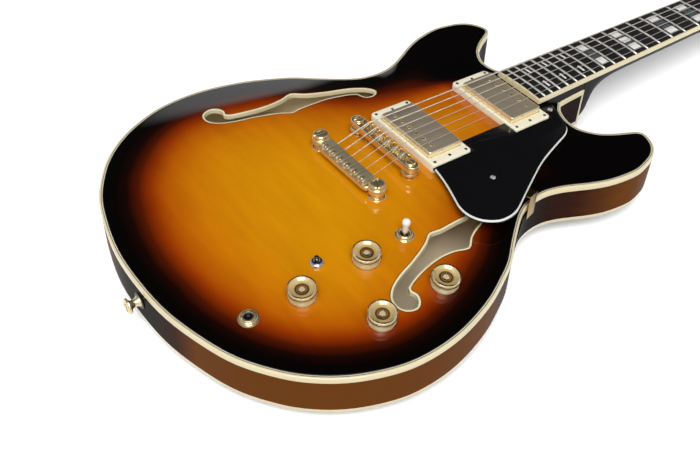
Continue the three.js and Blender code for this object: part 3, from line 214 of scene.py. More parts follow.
# Arched top: laminated maple pressed to a shallow arch, with two f-holes sawn through it.
# An amber sunburst under clear lacquer darkens to black at the rim and the neck; the inside is
# raw. The top is glued to the sides and the centre block.
HALF_WIDTH = 193.7
BODY_LENGTH = 482.5
TAIL_TO_BRIDGE = 253.0
TONGUE_HALF = 28.4
TONGUE_END = 234.0
CUTAWAY_FLOOR = 184.0
CUTAWAY_HALF = 61.0
TOP_CROWN = 13.6
TOP_FALL = 0.44
TOP_THICKNESS = 5.5
BINDING_WIDTH = 4.0
ARCH_SPREAD = radians(7)
ARCH_ROUNDING = 3
EDGE_RISE = 0.3
LEAST_RISE = 0.001
GLUED_IN = 0.1
BODY_SHARES = [
    (0.000, 0.000), (0.212, 0.005), (0.418, 0.024), (0.578, 0.048), (0.723, 0.086), (0.818, 0.122),
    (0.896, 0.165), (0.953, 0.213), (0.990, 0.263), (1.000, 0.315), (0.990, 0.365), (0.963, 0.413),
    (0.924, 0.459), (0.874, 0.501), (0.818, 0.541), (0.738, 0.581), (0.658, 0.624), (0.614, 0.654),
    (0.594, 0.687), (0.595, 0.719), (0.616, 0.748), (0.648, 0.776), (0.684, 0.805), (0.715, 0.837),
    (0.734, 0.872), (0.741, 0.906), (0.727, 0.937), (0.701, 0.966), (0.649, 0.989), (0.578, 1.000),
    (0.539, 0.994), (0.514, 0.978), (0.493, 0.961), (0.467, 0.944), (0.434, 0.927), (0.392, 0.914),
    (0.351, 0.906), (0.310, 0.904), (0.268, 0.906), (0.232, 0.911), (0.196, 0.919), (0.168, 0.931),
    (0.151, 0.945),
]
F_HOLE_PLACE = (79.0, -104.5)
F_HOLE_SIZE = (76.8, 162.6)
F_HOLE_SHARES = [
    (0.000, 0.935), (0.031, 0.897), (0.102, 0.879), (0.160, 0.874), (0.208, 0.832), (0.242, 0.766),
    (0.271, 0.695), (0.273, 0.635), (0.277, 0.572), (0.280, 0.509), (0.263, 0.440), (0.339, 0.386),
    (0.406, 0.320), (0.479, 0.232), (0.534, 0.149), (0.599, 0.080), (0.672, 0.033), (0.753, 0.006),
    (0.833, 0.000), (0.905, 0.007), (0.966, 0.029), (1.000, 0.066), (0.991, 0.100), (0.932, 0.130),
    (0.841, 0.143), (0.751, 0.137), (0.667, 0.243), (0.620, 0.366), (0.630, 0.470), (0.677, 0.556),
    (0.572, 0.621), (0.509, 0.680), (0.448, 0.757), (0.404, 0.830), (0.348, 0.902), (0.268, 0.959),
    (0.180, 0.992), (0.091, 1.000), (0.025, 0.975),
]


def on_curve(t, here, leaving, ahead, meeting):
    """A place between two points on a curve that leaves and meets them in given directions."""
    near = (2 * t ** 3 - 3 * t ** 2 + 1) * here + (t ** 3 - 2 * t ** 2 + t) * leaving
    return near + (3 * t ** 2 - 2 * t ** 3) * ahead + (t ** 3 - t ** 2) * meeting


def smooth_loop(points, steps, corners=()):
    """A closed curve through the points; it turns sharply at the numbered corners."""
    points = np.array(points, float)
    count = len(points)
    fine = []
    for i in range(count):
        before, here, ahead, after = points[[i - 1, i, (i + 1) % count, (i + 2) % count]]
        leaving = ahead - here if i in corners else (ahead - before) / 2
        meeting = ahead - here if (i + 1) % count in corners else (after - here) / 2
        fine += [on_curve(k / steps, here, leaving, ahead, meeting) for k in range(steps)]
    return np.array(fine)


def drawn_in(loop, distance):
    """A closed anticlockwise loop moved inwards by a distance."""
    before, after = np.roll(loop, 1, axis=0), np.roll(loop, -1, axis=0)
    first = (loop - before) / np.linalg.norm(loop - before, axis=1, keepdims=True)
    second = (after - loop) / np.linalg.norm(after - loop, axis=1, keepdims=True)
    normal = np.stack([-first[:, 1] - second[:, 1], first[:, 0] + second[:, 0]], axis=1)
    normal /= np.linalg.norm(normal, axis=1, keepdims=True)
    spread = np.maximum(-normal[:, 0] * first[:, 1] + normal[:, 1] * first[:, 0], 0.5)
    return loop + normal * (distance / spread)[:, None]


def edge_distance(points, loop):
    """Distance of each point from the loop."""
    along = np.roll(loop, -1, axis=0) - loop
    nearest = np.full(len(points), np.inf)
    for start, step, square in zip(loop, along, (along ** 2).sum(axis=1)):
        share = np.clip(((points - start) @ step) / square, 0, 1)
        nearest = np.minimum(nearest, np.linalg.norm(points - start - share[:, None] * step, axis=1))
    return nearest


half = [(x * HALF_WIDTH, y * BODY_LENGTH - TAIL_TO_BRIDGE) for x, y in BODY_SHARES]
half.append((TONGUE_HALF, TONGUE_END))
whole = half + [(-x, y) for x, y in reversed(half[1:])]
body_loop = smooth_loop(whole, 4, (len(half) - 1, len(half)))
arch_loop = body_loop.copy()
on_tongue = (arch_loop[:, 1] > CUTAWAY_FLOOR) & (abs(arch_loop[:, 0]) < CUTAWAY_HALF)
arch_loop[on_tongue] *= (CUTAWAY_FLOOR / arch_loop[on_tongue][:, 1])[:, None]
arch_angles = np.arctan2(arch_loop[:, 1], arch_loop[:, 0])
arch_reach = np.hypot(arch_loop[:, 0], arch_loop[:, 1])


def arch_rise(x, y, crown):
    """Height of an arch over its edge: full in the middle and smooth over the horns."""
    x, y = np.atleast_1d(np.asarray(x, float)), np.atleast_1d(np.asarray(y, float))
    reach = np.zeros(len(x))
    turns = np.linspace(-ARCH_SPREAD, ARCH_SPREAD, 9)
    for turn in turns:
        angle = np.arctan2(y, x) + turn
        reach += np.interp(angle, arch_angles, arch_reach, period=2 * pi) / len(turns)
    middle = crown * (1 - np.minimum(np.hypot(x, y) / reach, 1.0) ** 2) + LEAST_RISE
    edge = EDGE_RISE * edge_distance(np.column_stack([x, y]), body_loop) + LEAST_RISE
    return (middle ** -ARCH_ROUNDING + edge ** -ARCH_ROUNDING) ** (-1 / ARCH_ROUNDING)


def top_height(x, y):
    """Height of the top's outer face, which falls a little towards the neck."""
    return arch_rise(x, y, TOP_CROWN) * (1 - TOP_FALL * np.maximum(y, 0) / CUTAWAY_FLOOR)


def swept(rings, closed=False):
    """A skin through rings of equally many points: each ring is extruded from the last one."""
    shape = bmesh.new()
    place = shape.verts.layers.int.new("place")
    first = [shape.verts.new(point) for point in rings[0]]
    for i, vertex in enumerate(first):
        vertex[place] = i
    opening = edges = [shape.edges.new((first[i - 1], first[i])) for i in range(len(first))]
    for ring in list(rings[1:]) + ([rings[0]] if closed else []):
        made = bmesh.ops.extrude_edge_only(shape, edges=edges)["geom"]
        edges = [item for item in made if isinstance(item, bmesh.types.BMEdge)]
        for item in made:
            if isinstance(item, bmesh.types.BMVert):
                item.co = ring[item[place]]
    if closed:
        bmesh.ops.remove_doubles(shape, verts=shape.verts[:], dist=0.0001)
    else:
        bmesh.ops.contextual_create(shape, geom=opening)
        bmesh.ops.contextual_create(shape, geom=edges)
    bmesh.ops.recalc_face_normals(shape, faces=shape.faces[:])
    return shape


def at_height(loop, height):
    """The loop's points at one height, or at a height for each."""
    return np.column_stack([loop, np.broadcast_to(height, len(loop))])


def new_piece(name, shape, material, crease=38, at=None):
    """Makes a drawn shape an object of the scene, sharp where its faces meet at more than the crease."""
    bmesh.ops.recalc_face_normals(shape, faces=shape.faces[:])
    shape.transform(drawn @ at if at else drawn)
    mesh = mesh_of(name, shape)
    mesh.materials.append(material)
    mesh.shade_smooth()
    mesh.set_sharp_from_angle(angle=radians(crease))
    return placed(name, mesh)


def drawn_points(piece, at=None):
    """The piece's vertices in the drawing, or as counted from a place in it."""
    count = len(piece.data.vertices)
    flat = np.empty(count * 3, np.float32)
    piece.data.vertices.foreach_get("co", flat)
    points = np.column_stack([flat.reshape(count, 3), np.ones(count)]) @ np.array(drawn.inverted()).T
    return points @ np.array(at.inverted()).T if at else points


def with_values(piece, name, values):
    """Stores one number for each vertex of a piece, for its material."""
    layer = piece.data.attributes.new(name, "FLOAT", "POINT")
    values = np.broadcast_to(values, len(piece.data.vertices))
    layer.data.foreach_set("value", values.astype(np.float32))


def cut_by(piece, cutters):
    """Cuts closed shapes out of a piece and keeps the result as its mesh."""
    tools = []
    for cutter in cutters:
        cutter.transform(drawn)
        tool = placed("cutter", mesh_of("cutter", cutter))
        tools.append(tool)
        opening = piece.modifiers.new("opening", "BOOLEAN")
        opening.operation = "DIFFERENCE"
        opening.solver = "EXACT"
        opening.object = tool
    bpy.context.view_layer.update()
    shown = piece.evaluated_get(bpy.context.evaluated_depsgraph_get())
    old, piece_name = piece.data, piece.data.name
    cut_mesh = bpy.data.meshes.new_from_object(shown)
    piece.modifiers.clear()
    piece.data = cut_mesh
    bpy.data.meshes.remove(old)
    cut_mesh.name = piece_name
    for tool in tools:
        bpy.data.meshes.remove(tool.data)


PLATE_STEPS = 26
PLATE_MIDDLE = 0.05
PLATE_CREASE = radians(30)
PLATE_SHARES = [1 - (1 - PLATE_MIDDLE) * (k / PLATE_STEPS) for k in range(PLATE_STEPS + 1)]


def arched_plate(name, loop, surface, above, below, material, cutters=()):
    """A plate drawn flat in rings, cut, then raised to lie above and below an arched surface."""
    rings = [at_height(loop * share, 0.0) for share in PLATE_SHARES]
    under = [at_height(loop * share, -1.0) for share in reversed(PLATE_SHARES)]
    piece = new_piece(name, swept(under + rings), material)
    if cutters:
        cut_by(piece, cutters)
    points = drawn_points(piece)
    x, y, flat = points[:, 0], points[:, 1], points[:, 2]
    height = surface(x, y) + above * (1 + flat) + below * flat
    raised = np.column_stack([x, y, height, np.ones(len(x))]) @ np.array(drawn).T
    piece.data.vertices.foreach_set("co", raised[:, :3].astype(np.float32).ravel())
    piece.data.update()
    piece.data.shade_smooth()
    piece.data.set_sharp_from_angle(angle=PLATE_CREASE)
    return piece, points, flat


def smooth_arch(piece, surface, step=1.5, upward=0.8):
    """Gives the upper faces of an arched plate the arch's own normals, so that its gloss runs true."""
    mesh = piece.data
    x, y = drawn_points(piece)[:, :2].T
    slope_x = (surface(x + step, y) - surface(x - step, y)) / (2 * step)
    slope_y = (surface(x, y + step) - surface(x, y - step)) / (2 * step)
    square = np.column_stack([-slope_x, -slope_y, np.ones(len(x))])
    square /= np.linalg.norm(square, axis=1, keepdims=True)
    square = square @ np.array(tilted.to_3x3()).T
    corner_normals = [Vector((0, 0, 0))] * len(mesh.loops)
    for polygon in mesh.polygons:
        if polygon.normal.z > upward:
            for corner in polygon.loop_indices:
                corner_normals[corner] = square[mesh.loops[corner].vertex_index].tolist()
    mesh.normals_split_custom_set(corner_normals)


def fade(value, start, end):
    """0 before the start and 1 past the end."""
    return np.clip((value - start) / (end - start), 0, 1)


def stored(tree, name):
    """A number that the piece stores for each of its vertices."""
    return node(tree, "ShaderNodeAttribute", attribute_name=name).outputs["Fac"]


def varied(tree, value, wave, reach):
    """A value with a wave on it that swings evenly to both sides."""
    swing = combine(tree, "MULTIPLY", combine(tree, "SUBTRACT", wave, 0.5), reach)
    return combine(tree, "ADD", value, swing)


def tinted(tree, colour, tint):
    return node(tree, "ShaderNodeVectorMath", {0: colour, 1: tint}, operation="MULTIPLY").outputs[0]


def surface_of(tree, colour, roughness, more=None):
    """The material's surface: its colour, its roughness and more of the shader's inputs."""
    inputs = {"Base Color": colour, "Roughness": roughness, **(more or {})}
    shader = node(tree, "ShaderNodeBsdfPrincipled", inputs)
    node(tree, "ShaderNodeOutputMaterial", {"Surface": shader.outputs[0]})


BURST_STOPS = [
    (0.0, "030202"), (0.09, "060202"), (0.153, "170502"), (0.216, "4a1402"), (0.288, "8c3002"),
    (0.378, "b25804"), (0.504, "c47206"), (0.648, "cc8006"), (0.9, "d08a06"), (0.93, "d08a06"),
    (0.97, "f3e2bc"),
]
BURST_REACH = 138.9
BURST_FULL = 0.9
BURST_RAW = 1.2
BURST_ROUNDING = 1.35
FLAME_DEPTH = 0.2
BURST_WIDER = 0.14
BURST_WIDER_FROM = 120
NECK_SHADE_HORN = 126
NECK_SHADE_MIDDLE = 196
NECK_SHADE_X = 12
NECK_SHADE_EDGES = (82, 46)
NECK_SHADE_SPEED = 1.5
f_hole = smooth_loop([np.multiply(share, F_HOLE_SIZE) + F_HOLE_PLACE for share in F_HOLE_SHARES], 3)
f_holes = {"treble": f_hole, "bass": f_hole[::-1] * (-1, 1)}
burst, tree = blank_material("sunburst_lacquer")
depth = varied(tree, stored(tree, "burst"), noise(tree, 14, 2.0), 0.045)
flames = combine(tree, "MULTIPLY", noise(tree, 10, 2.0, (1.5, 9.0, 1.0)), 0.8)
grain = combine(tree, "MULTIPLY", noise(tree, 60, 4.0, (12.0, 0.8, 1.0)), 0.2)
figure = combine(tree, "MULTIPLY", combine(tree, "ADD", flames, grain), 2 * FLAME_DEPTH)
figure = combine(tree, "ADD", figure, 1 - FLAME_DEPTH)
surface_of(tree, tinted(tree, ramp(tree, depth, BURST_STOPS), figure), 0.5, {
    "Specular IOR Level": 0.0, "Coat Weight": 1.0, "Coat Roughness": 0.02, "Coat IOR": 1.5,
})
f_hole_cutters = [swept([at_height(loop, -6.0), at_height(loop, 6.0)]) for loop in f_holes.values()]
top_plate, points, flat = arched_plate(
    "top_plate_look", drawn_in(body_loop, BINDING_WIDTH - GLUED_IN), top_height,
    0, TOP_THICKNESS, burst, f_hole_cutters)
near_middle = fade(abs(points[:, 0] - NECK_SHADE_X), *NECK_SHADE_EDGES)
near_middle = near_middle ** 2 * (3 - 2 * near_middle)
neck_shade = NECK_SHADE_HORN + (NECK_SHADE_MIDDLE - NECK_SHADE_HORN) * near_middle
from_neck = np.clip(NECK_SHADE_SPEED * (neck_shade - points[:, 1]) + 3, 2, 400)
wider_on_bass = 1 + BURST_WIDER * np.clip(points[:, 0] / BURST_WIDER_FROM, -1, 1)
from_rim = np.maximum(edge_distance(points[:, :2], body_loop), 0.5) * wider_on_bass
burst_depth = from_rim ** -BURST_ROUNDING + from_neck ** -BURST_ROUNDING
burst_depth = burst_depth ** (-1 / BURST_ROUNDING)
burst_value = np.minimum(burst_depth / BURST_REACH, BURST_FULL)
with_values(top_plate, "burst", np.where(flat < -0.5, BURST_RAW, burst_value))
smooth_arch(top_plate, top_height)
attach(top_plate, "guitar")
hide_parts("top_plate")


# F-hole bindings: ivory plastic strips glued inside each f-hole, with a thin dark line between
# them and the lacquered top. They reach through most of the top's thickness.
def layers(loop, section, lift=None):
    """Rings along a loop, from (distance inwards, height) pairs; lift is added to each height."""
    rings = []
    for distance, height in section:
        ring = drawn_in(loop, distance)
        rings.append(at_height(ring, height + lift(*ring.T) if lift else height))
    return rings


def lined_plastic(name, value, stops, wear, wear_scale, roughness, more, stepped=True):
    """Plastic or paint in lines along a stored value, with slight wear all over."""
    material, tree = blank_material(name)
    lines = ramp(tree, stored(tree, value), stops, stepped)
    worn = ramp(tree, noise(tree, wear_scale), [(0, wear), (1, "ffffff")])
    surface_of(tree, tinted(tree, lines, worn), roughness, more)
    return material


def from_edge(piece, loop):
    """The distance of the piece's vertices from a loop, in centimetres."""
    return edge_distance(drawn_points(piece)[:, :2], loop) / 10


F_HOLE_BINDING = 2.2
F_HOLE_DEEP = 4.2
F_HOLE_LINES = [(0, "1a0d06"), (0.05, "f2e6be"), (1, "f2e6be")]
F_HOLE_SECTION = [
    (-0.1, -F_HOLE_DEEP), (-0.1, 0.06), (0.5, 0.1), (1.9, 0.12), (F_HOLE_BINDING, -0.1),
    (F_HOLE_BINDING, -F_HOLE_DEEP),
]
f_hole_ivory = lined_plastic("bound_edge", "rim", F_HOLE_LINES, "ece6dc", 40, 0.35, {
    "Coat Weight": 0.8, "Coat Roughness": 0.05,
})
for side, loop in f_holes.items():
    hole_strip = swept(layers(loop, F_HOLE_SECTION, top_height), closed=True)
    hole_trim = new_piece(side + "_f_hole_trim", hole_strip, f_hole_ivory)
    with_values(hole_trim, "rim", from_edge(hole_trim, loop))
    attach(hole_trim, "guitar")
    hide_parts(side + "_f_hole_binding")

# Sides: bent laminated maple, glued to the top and the back, stained brown under lacquer.
# Painted shade makes them darker at the tail, at the waist and inside the cutaways; they are raw inside.
SIDE_LOW = -38.5
SIDE_WALL = 9.0
SIDE_SECTION = [
    (SIDE_WALL, -TOP_THICKNESS), (0, -TOP_THICKNESS), (0, SIDE_LOW), (SIDE_WALL, SIDE_LOW),
]
TAIL_SHADE_EDGES = (20, 80)
WAIST_Y = 45
WAIST_TO_HEAD = (70, 180)
WAIST_TO_TAIL = (35, -45)
CUTAWAY_SHADE = 0.85
CUTAWAY_SHADE_EDGES = (136, 120)
CUTAWAY_SHADE_FROM = 178
# The black and dark stops are painted shade, the browns are the stain and the last two are raw wood.
SIDE_STOPS = [
    (0, "060303"), (0.25, "361607"), (0.45, "683804"), (0.7, "683804"), (0.75, "efdcb2"), (1, "f6e6c4"),
]
brown, tree = blank_material("side_lacquer")
shaded = varied(tree, stored(tree, "shade"), noise(tree, 25, 4.0, (1.0, 1.0, 6.0)), 0.1)
surface_of(tree, ramp(tree, shaded, SIDE_STOPS), 0.5, {
    "Specular IOR Level": 0.0, "Coat Weight": 0.16, "Coat Roughness": 0.05,
})


def side_painted_shade(x, y):
    """How brown the outside is under its painted shade: 0 is black, 1 is full brown."""
    from_tail = np.where(y < 0, fade(abs(x), *TAIL_SHADE_EDGES), 1)
    from_waist = np.where(y > WAIST_Y, fade(y, *WAIST_TO_HEAD), fade(y, *WAIST_TO_TAIL))
    in_cutaway = fade(abs(x), *CUTAWAY_SHADE_EDGES) * (y > CUTAWAY_SHADE_FROM)
    return from_tail * from_waist * (1 - CUTAWAY_SHADE * in_cutaway)


sides = new_piece("sides_look", swept(layers(body_loop, SIDE_SECTION), closed=True), brown)
points = drawn_points(sides)
inside = edge_distance(points[:, :2], body_loop) > SIDE_WALL / 2
with_values(sides, "shade", np.where(inside, 1.0, side_painted_shade(*points[:, :2].T) / 2))
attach(sides, "guitar")
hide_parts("sides")

# Top binding: cream plastic round the rim with a black, a white and a black line inside it.
# The strips are glued in a ledge and scraped level with the lacquer.
TOP_LINES = [(0, "ece0ba"), (0.17, "17100a"), (0.22, "ddd8c4"), (0.31, "0a0503"), (1, "0a0503")]
TOP_SECTION = [
    (0, -TOP_THICKNESS), (0, -0.7), (0.25, -0.2), (0.8, 0.02), (1.6, 0.05), (2.8, 0.05),
    (BINDING_WIDTH, 0.02), (BINDING_WIDTH, -TOP_THICKNESS),
]
cream = lined_plastic("body_binding", "rim", TOP_LINES, "ece6dc", 30, 0.35, {
    "Coat Weight": 1.0, "Coat Roughness": 0.04,
})
top_strip = swept(layers(body_loop, TOP_SECTION), closed=True)
top_trim = new_piece("top_binding_look", top_strip, cream, crease=50)
with_values(top_trim, "rim", from_edge(top_trim, body_loop))
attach(top_trim, "guitar")
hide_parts("top_binding")

# Back binding: a narrower strip of the same cream plastic round the edge of the back.
# It has no lines, and it is glued in a ledge and scraped level too.
BODY_LOW = -43.0
BACK_BINDING = 2.4
BACK_SECTION = [
    (0, SIDE_LOW), (BACK_BINDING, SIDE_LOW), (BACK_BINDING, BODY_LOW), (0.6, BODY_LOW),
    (0, BODY_LOW + 0.6),
]
back_strip = swept(layers(body_loop, BACK_SECTION), closed=True)
back_trim = new_piece("back_binding_look", back_strip, cream, crease=50)
with_values(back_trim, "rim", 0)
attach(back_trim, "guitar")
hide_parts("back_binding")

# Arched back: laminated maple pressed like the top, stained brown and shaded to its edge.
# It rests on the low part of its arch, which is flat where the table meets it.
BACK_CROWN = 16.0
BACK_SEAT = -55.9
BACK_THICKNESS = 4.5
BACK_STOPS = [
    (0, "080403"), (0.12, "2a1006"), (0.3, "5a2c0c"), (0.5, "7a400e"), (0.68, "7a400e"),
    (0.75, "efdcb2"), (1, "fae9c8"),
]


def back_height(x, y):
    """Height of the back's outer face: an arch with a flat seat."""
    return np.maximum(BODY_LOW - arch_rise(x, y, BACK_CROWN), BACK_SEAT - tan(TILT) * y)


back_wood, tree = blank_material("back_lacquer")
depth = varied(tree, stored(tree, "burst"), noise(tree, 12, 3.0, (3, 1, 1)), 0.12)
surface_of(tree, ramp(tree, depth, BACK_STOPS), 0.5, {
    "Specular IOR Level": 0.0, "Coat Weight": 0.5, "Coat Roughness": 0.04,
})
back_plate, points, flat = arched_plate(
    "back_plate_look", drawn_in(body_loop, BACK_BINDING - GLUED_IN), back_height,
    BACK_THICKNESS, 0, back_wood)
outside = np.minimum(edge_distance(points[:, :2], body_loop) / 180, 0.5)
with_values(back_plate, "burst", np.where(flat > -0.5, 1.0, outside))
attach(back_plate, "guitar")
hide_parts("back_plate")


# Centre block: maple with spruce on it, glued between the top and the back.
# It keeps the solid model's shape and is only seen through the f-holes.
def mottled(name, stops, roughness, scale, detail=3.0, stretch=(1, 1, 1), more=None):
    """A material whose colour varies a little, in grain or in clouds."""
    material, tree = blank_material(name)
    surface_of(tree, ramp(tree, noise(tree, scale, detail, stretch), stops), roughness, more)
    return material


def keep_shape(name, material):
    """A solid whose shape is right stays, in its material."""
    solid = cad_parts[name]
    solid.data.materials.clear()
    solid.data.materials.append(material)


raw_wood = mottled("raw_wood", [(0.3, "a88e62"), (0.7, "d2ba8c")], 0.75, 55, 4.0, (4.0, 0.3, 4.0))
keep_shape("centre_block", raw_wood)

# Neck: mahogany in black lacquer, glued into the body with a rounded heel.
# The shelf under the fretboard stands on the arched top, and the back is rounded for the hand.
# The stations give depth and squareness along the neck, and then width too inside the head.
SCALE_LENGTH = 628.0
BOARD_TOP_AT_END = 17.8
BOARD_END = 170.3
BOARD_TAIL = 166.6
BOARD_THICKNESS = 6.2
BOARD_HALF_AT_END = 28.55
NECK_SLOPE = tan(radians(2.83))
NUT_HALF = 21.5
NUT_LENGTH = 5.0
HEAD_FACE_Y = SCALE_LENGTH + NUT_LENGTH
HEAD_FACE_Z = -11.57
HEAD_ANGLE = radians(16.83)
NECK_STATIONS = [
    (234.3, 49.9, 0.25), (240.0, 49.7, 0.28), (244.3, 48.6, 0.36), (247.2, 43.6, 0.46),
    (252.6, 33.6, 0.68), (262.1, 25.2, 0.88), (275.4, 19.6, 0.98), (294.1, 16.6, 1.0),
    (340.0, 16.0, 1.0), (480.0, 15.0, 1.0), (600.0, 14.0, 1.0), (620.0, 13.8, 0.9),
]
HEAD_STATIONS = [(2, 21.6, 13.8, 0.6), (10, 22.4, 13.9, 0.3), (18, 24, 13.9, 0.15)]
SHELF_TAIL = 168.4
SHELF_HEAD = 246
SHELF_LOW = 4.8
SHELF_SUNK = 1.2


def board_top(y):
    return BOARD_TOP_AT_END - NECK_SLOPE * (y - BOARD_END)


def board_under(y):
    return board_top(y) - BOARD_THICKNESS


def board_half(y):
    share = (y - BOARD_END) / (SCALE_LENGTH - BOARD_END)
    return BOARD_HALF_AT_END + share * (NUT_HALF - BOARD_HALF_AT_END)


def smooth_line(points, steps):
    """An open curve through points of any number of values."""
    known = [np.array(point, float) for point in points]
    known = [2 * known[0] - known[1]] + known + [2 * known[-1] - known[-2]]
    fine = []
    for before, here, ahead, after in zip(known, known[1:], known[2:], known[3:]):
        leaving, meeting = (ahead - before) / 2, (after - here) / 2
        fine += [on_curve(k / steps, here, leaving, ahead, meeting) for k in range(steps)]
    return fine + [known[-2]]


def neck_ring(y, half_width, top, depth, squareness, steps=24):
    """Half an oval under a flat top, from round to nearly square."""
    ring = []
    for i in range(steps + 1):
        across, down = cos(i * pi / steps), max(sin(i * pi / steps), 0)
        x = half_width * abs(across) ** squareness * (1 if across > 0 else -1)
        ring.append((x, y, top - depth * down ** squareness))
    return ring


head_face = Matrix.Translation((0, HEAD_FACE_Y, HEAD_FACE_Z)) @ Matrix.Rotation(-HEAD_ANGLE, 4, "X")
black_lacquer = mottled("black_lacquer", [(0, "0b0808"), (1, "141010")], 0.5, 20, 3.0, (1, 0.2, 1), {
    "Specular IOR Level": 0.0, "Coat Weight": 0.35, "Coat Roughness": 0.04,
})
neck_rings = []
for y, depth, squareness in smooth_line(NECK_STATIONS, 4):
    neck_rings.append(neck_ring(y, board_half(y) - GLUED_IN, board_under(y), depth, squareness))
for y, half_width, depth, squareness in HEAD_STATIONS:
    ring = neck_ring(y, half_width, -GLUED_IN, depth, squareness)
    neck_rings.append([tuple(head_face @ Vector(point)) for point in ring])
neck = new_piece("neck_shaft", swept(neck_rings), black_lacquer, crease=50)
shelf_rings = []
for y in np.linspace(SHELF_TAIL, SHELF_HEAD, 14):
    x, high = board_half(y) - 0.3, board_under(y)
    low = min(top_height(20.0, y)[0] - SHELF_SUNK, SHELF_LOW)
    shelf_rings.append([(x, y, low), (x, y, high), (-x, y, high), (-x, y, low)])
shelf = new_piece("neck_shelf", swept(shelf_rings), black_lacquer)
for part in (neck, shelf):
    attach(part, "guitar")
    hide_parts("neck")

# Heel binding: upright strips of cream plastic where the body's sides end at the heel.
# They are glued over the ends of the sides, from the top's underside to the back.
SIGNS = {"bass": -1, "treble": 1}
HEEL_STRIP = 2.2
for side, sign in SIGNS.items():
    x0, x1 = sign * (TONGUE_HALF - 0.6), sign * (TONGUE_HALF + 0.12)
    y0, y1 = TONGUE_END - HEEL_STRIP, TONGUE_END + GLUED_IN
    strip = swept([[(x0, y0, z), (x1, y0, z), (x1, y1, z), (x0, y1, z)] for z in (BODY_LOW, 0.0)])
    heel_strip = new_piece(side + "_heel_binding", strip, cream)
    with_values(heel_strip, "rim", 0)
    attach(heel_strip, "guitar")

# Headstock: the neck's end, leaned back, with an open outline and a plain black face.
# It is one with the neck; two thin ears of wood widen it for the tuners.
HEAD_HALF = 39.0
HEAD_LENGTH = 180.0
HEAD_THICKNESS = 14.0
HEAD_SHARES = [
    (0.551, 0.000), (0.580, 0.050), (0.740, 0.110), (0.900, 0.160), (0.960, 0.250), (0.950, 0.400),
    (0.930, 0.550), (0.940, 0.700), (0.975, 0.820), (1.000, 0.905), (0.960, 0.945), (0.700, 0.972),
    (0.350, 1.000),
]
HEAD_CORNERS = (0, 9, 10, 12, 13, 15, 16, 25)
HEAD_SECTION = [
    (0.8, -HEAD_THICKNESS), (0.2, -HEAD_THICKNESS + 0.2), (0, -HEAD_THICKNESS + 0.8), (0, -0.8),
    (0.2, -0.2), (0.8, 0),
]
head_half = [(x * HEAD_HALF, y * HEAD_LENGTH) for x, y in HEAD_SHARES]
head_loop = smooth_loop(head_half + [(-x, y) for x, y in reversed(head_half)], 4, HEAD_CORNERS)
head_shape = swept(layers(head_loop, HEAD_SECTION))
headstock = new_piece("headstock", head_shape, black_lacquer, at=head_face, crease=16)
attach(headstock, "guitar")
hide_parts("neck")

# Fretboard: ebony, arched across and glued to the neck.
# It has slots for 22 frets, with pearl and abalone blocks let in level with its top.
BOARD_RADIUS = 305.0
BOARD_BINDING = 1.7
inner_end = BOARD_TAIL + BOARD_BINDING


def crown_drop(x):
    return x * x / (2 * BOARD_RADIUS)


def board_ring(y, half_width, steps=12):
    """The board's section: a flat underside and an arched top."""
    across = [half_width * (1 - 2 * i / steps) for i in range(steps + 1)]
    arched = [(x, y, board_top(y) - crown_drop(x)) for x in across]
    return [(-half_width, y, board_under(y)), (half_width, y, board_under(y))] + arched


ebony = mottled("ebony", [(0.3, "0f0e10"), (0.8, "211d1e")], 0.38, 90, 4.0, (6.0, 0.5, 1))
board_shape = swept([
    board_ring(y, board_half(y) - BOARD_BINDING + 0.05) for y in (inner_end - 0.05, SCALE_LENGTH)])
board = new_piece("fretboard_look", board_shape, ebony)
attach(board, "guitar")
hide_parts("fretboard")

# Fretboard binding: a cream plastic strip along both edges and round the body end.
# It is glued on and scraped to the board's arch, with its upper edge slightly rounded.
side_path = [(board_half(y), y) for y in (400, SCALE_LENGTH)]
end_path = [(x, BOARD_TAIL) for x in np.linspace(-board_half(BOARD_TAIL), board_half(BOARD_TAIL), 9)]
strip_rings = []
for x, y in [(-x, y) for x, y in reversed(side_path)] + end_path + side_path:
    inner_half, inner_y = board_half(y) - BOARD_BINDING, max(y, inner_end)
    inner_x = np.clip(x, -inner_half, inner_half)
    high = board_top(y) - crown_drop(x)
    eased_y = y + (0.25 if y == BOARD_TAIL else 0)
    strip_rings.append([
        (x, y, board_under(y)), (x, y, high - 0.3), (x * 0.992, eased_y, high),
        (inner_x, inner_y, board_top(inner_y) - crown_drop(inner_x)),
        (inner_x, inner_y, board_under(inner_y))])
board_trim = new_piece("fretboard_binding_look", swept(strip_rings), cream)
with_values(board_trim, "rim", 0)
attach(board_trim, "guitar")
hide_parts("fretboard_binding")

# Frets: 22 crowned nickel-silver wires hammered into slots across the fretboard.
# They follow the board's arch, are filed round at both ends and stop at the binding.
FRET_COUNT = 22
FRET_HALF = 1.2
FRET_HEIGHT = 1.05
FRET_OVERLAP = 0.1
FRET_STATIONS = (-1, -0.97, -0.6, -0.2, 0.2, 0.6, 0.97, 1)
FRET_END = 0.45
FRET_PROFILE = [
    (-1.0, -0.2), (-1.0, 0.15), (-0.75, 0.62), (-0.3, 0.95), (0.3, 0.95), (0.75, 0.62), (1.0, 0.15),
    (1.0, -0.2),
]


def metal(name, low, high, roughness, metallic=1.0):
    """Polished or plated metal with a slight change of tone and gloss over its surface."""
    material, tree = blank_material(name)
    mark = noise(tree, 60)
    gloss = combine(tree, "ADD", combine(tree, "MULTIPLY", mark, roughness * 0.6), roughness * 0.7)
    surface_of(tree, ramp(tree, mark, [(0.3, low), (0.7, high)]), gloss, {"Metallic": metallic})
    return material


def gather(base, extra, at=None):
    """Adds a drawn shape to another one."""
    if at:
        extra.transform(at)
    spare = mesh_of("spare", extra)
    base.from_mesh(spare)
    bpy.data.meshes.remove(spare)


def fret_place(number):
    return SCALE_LENGTH * 2 ** (-number / 12)


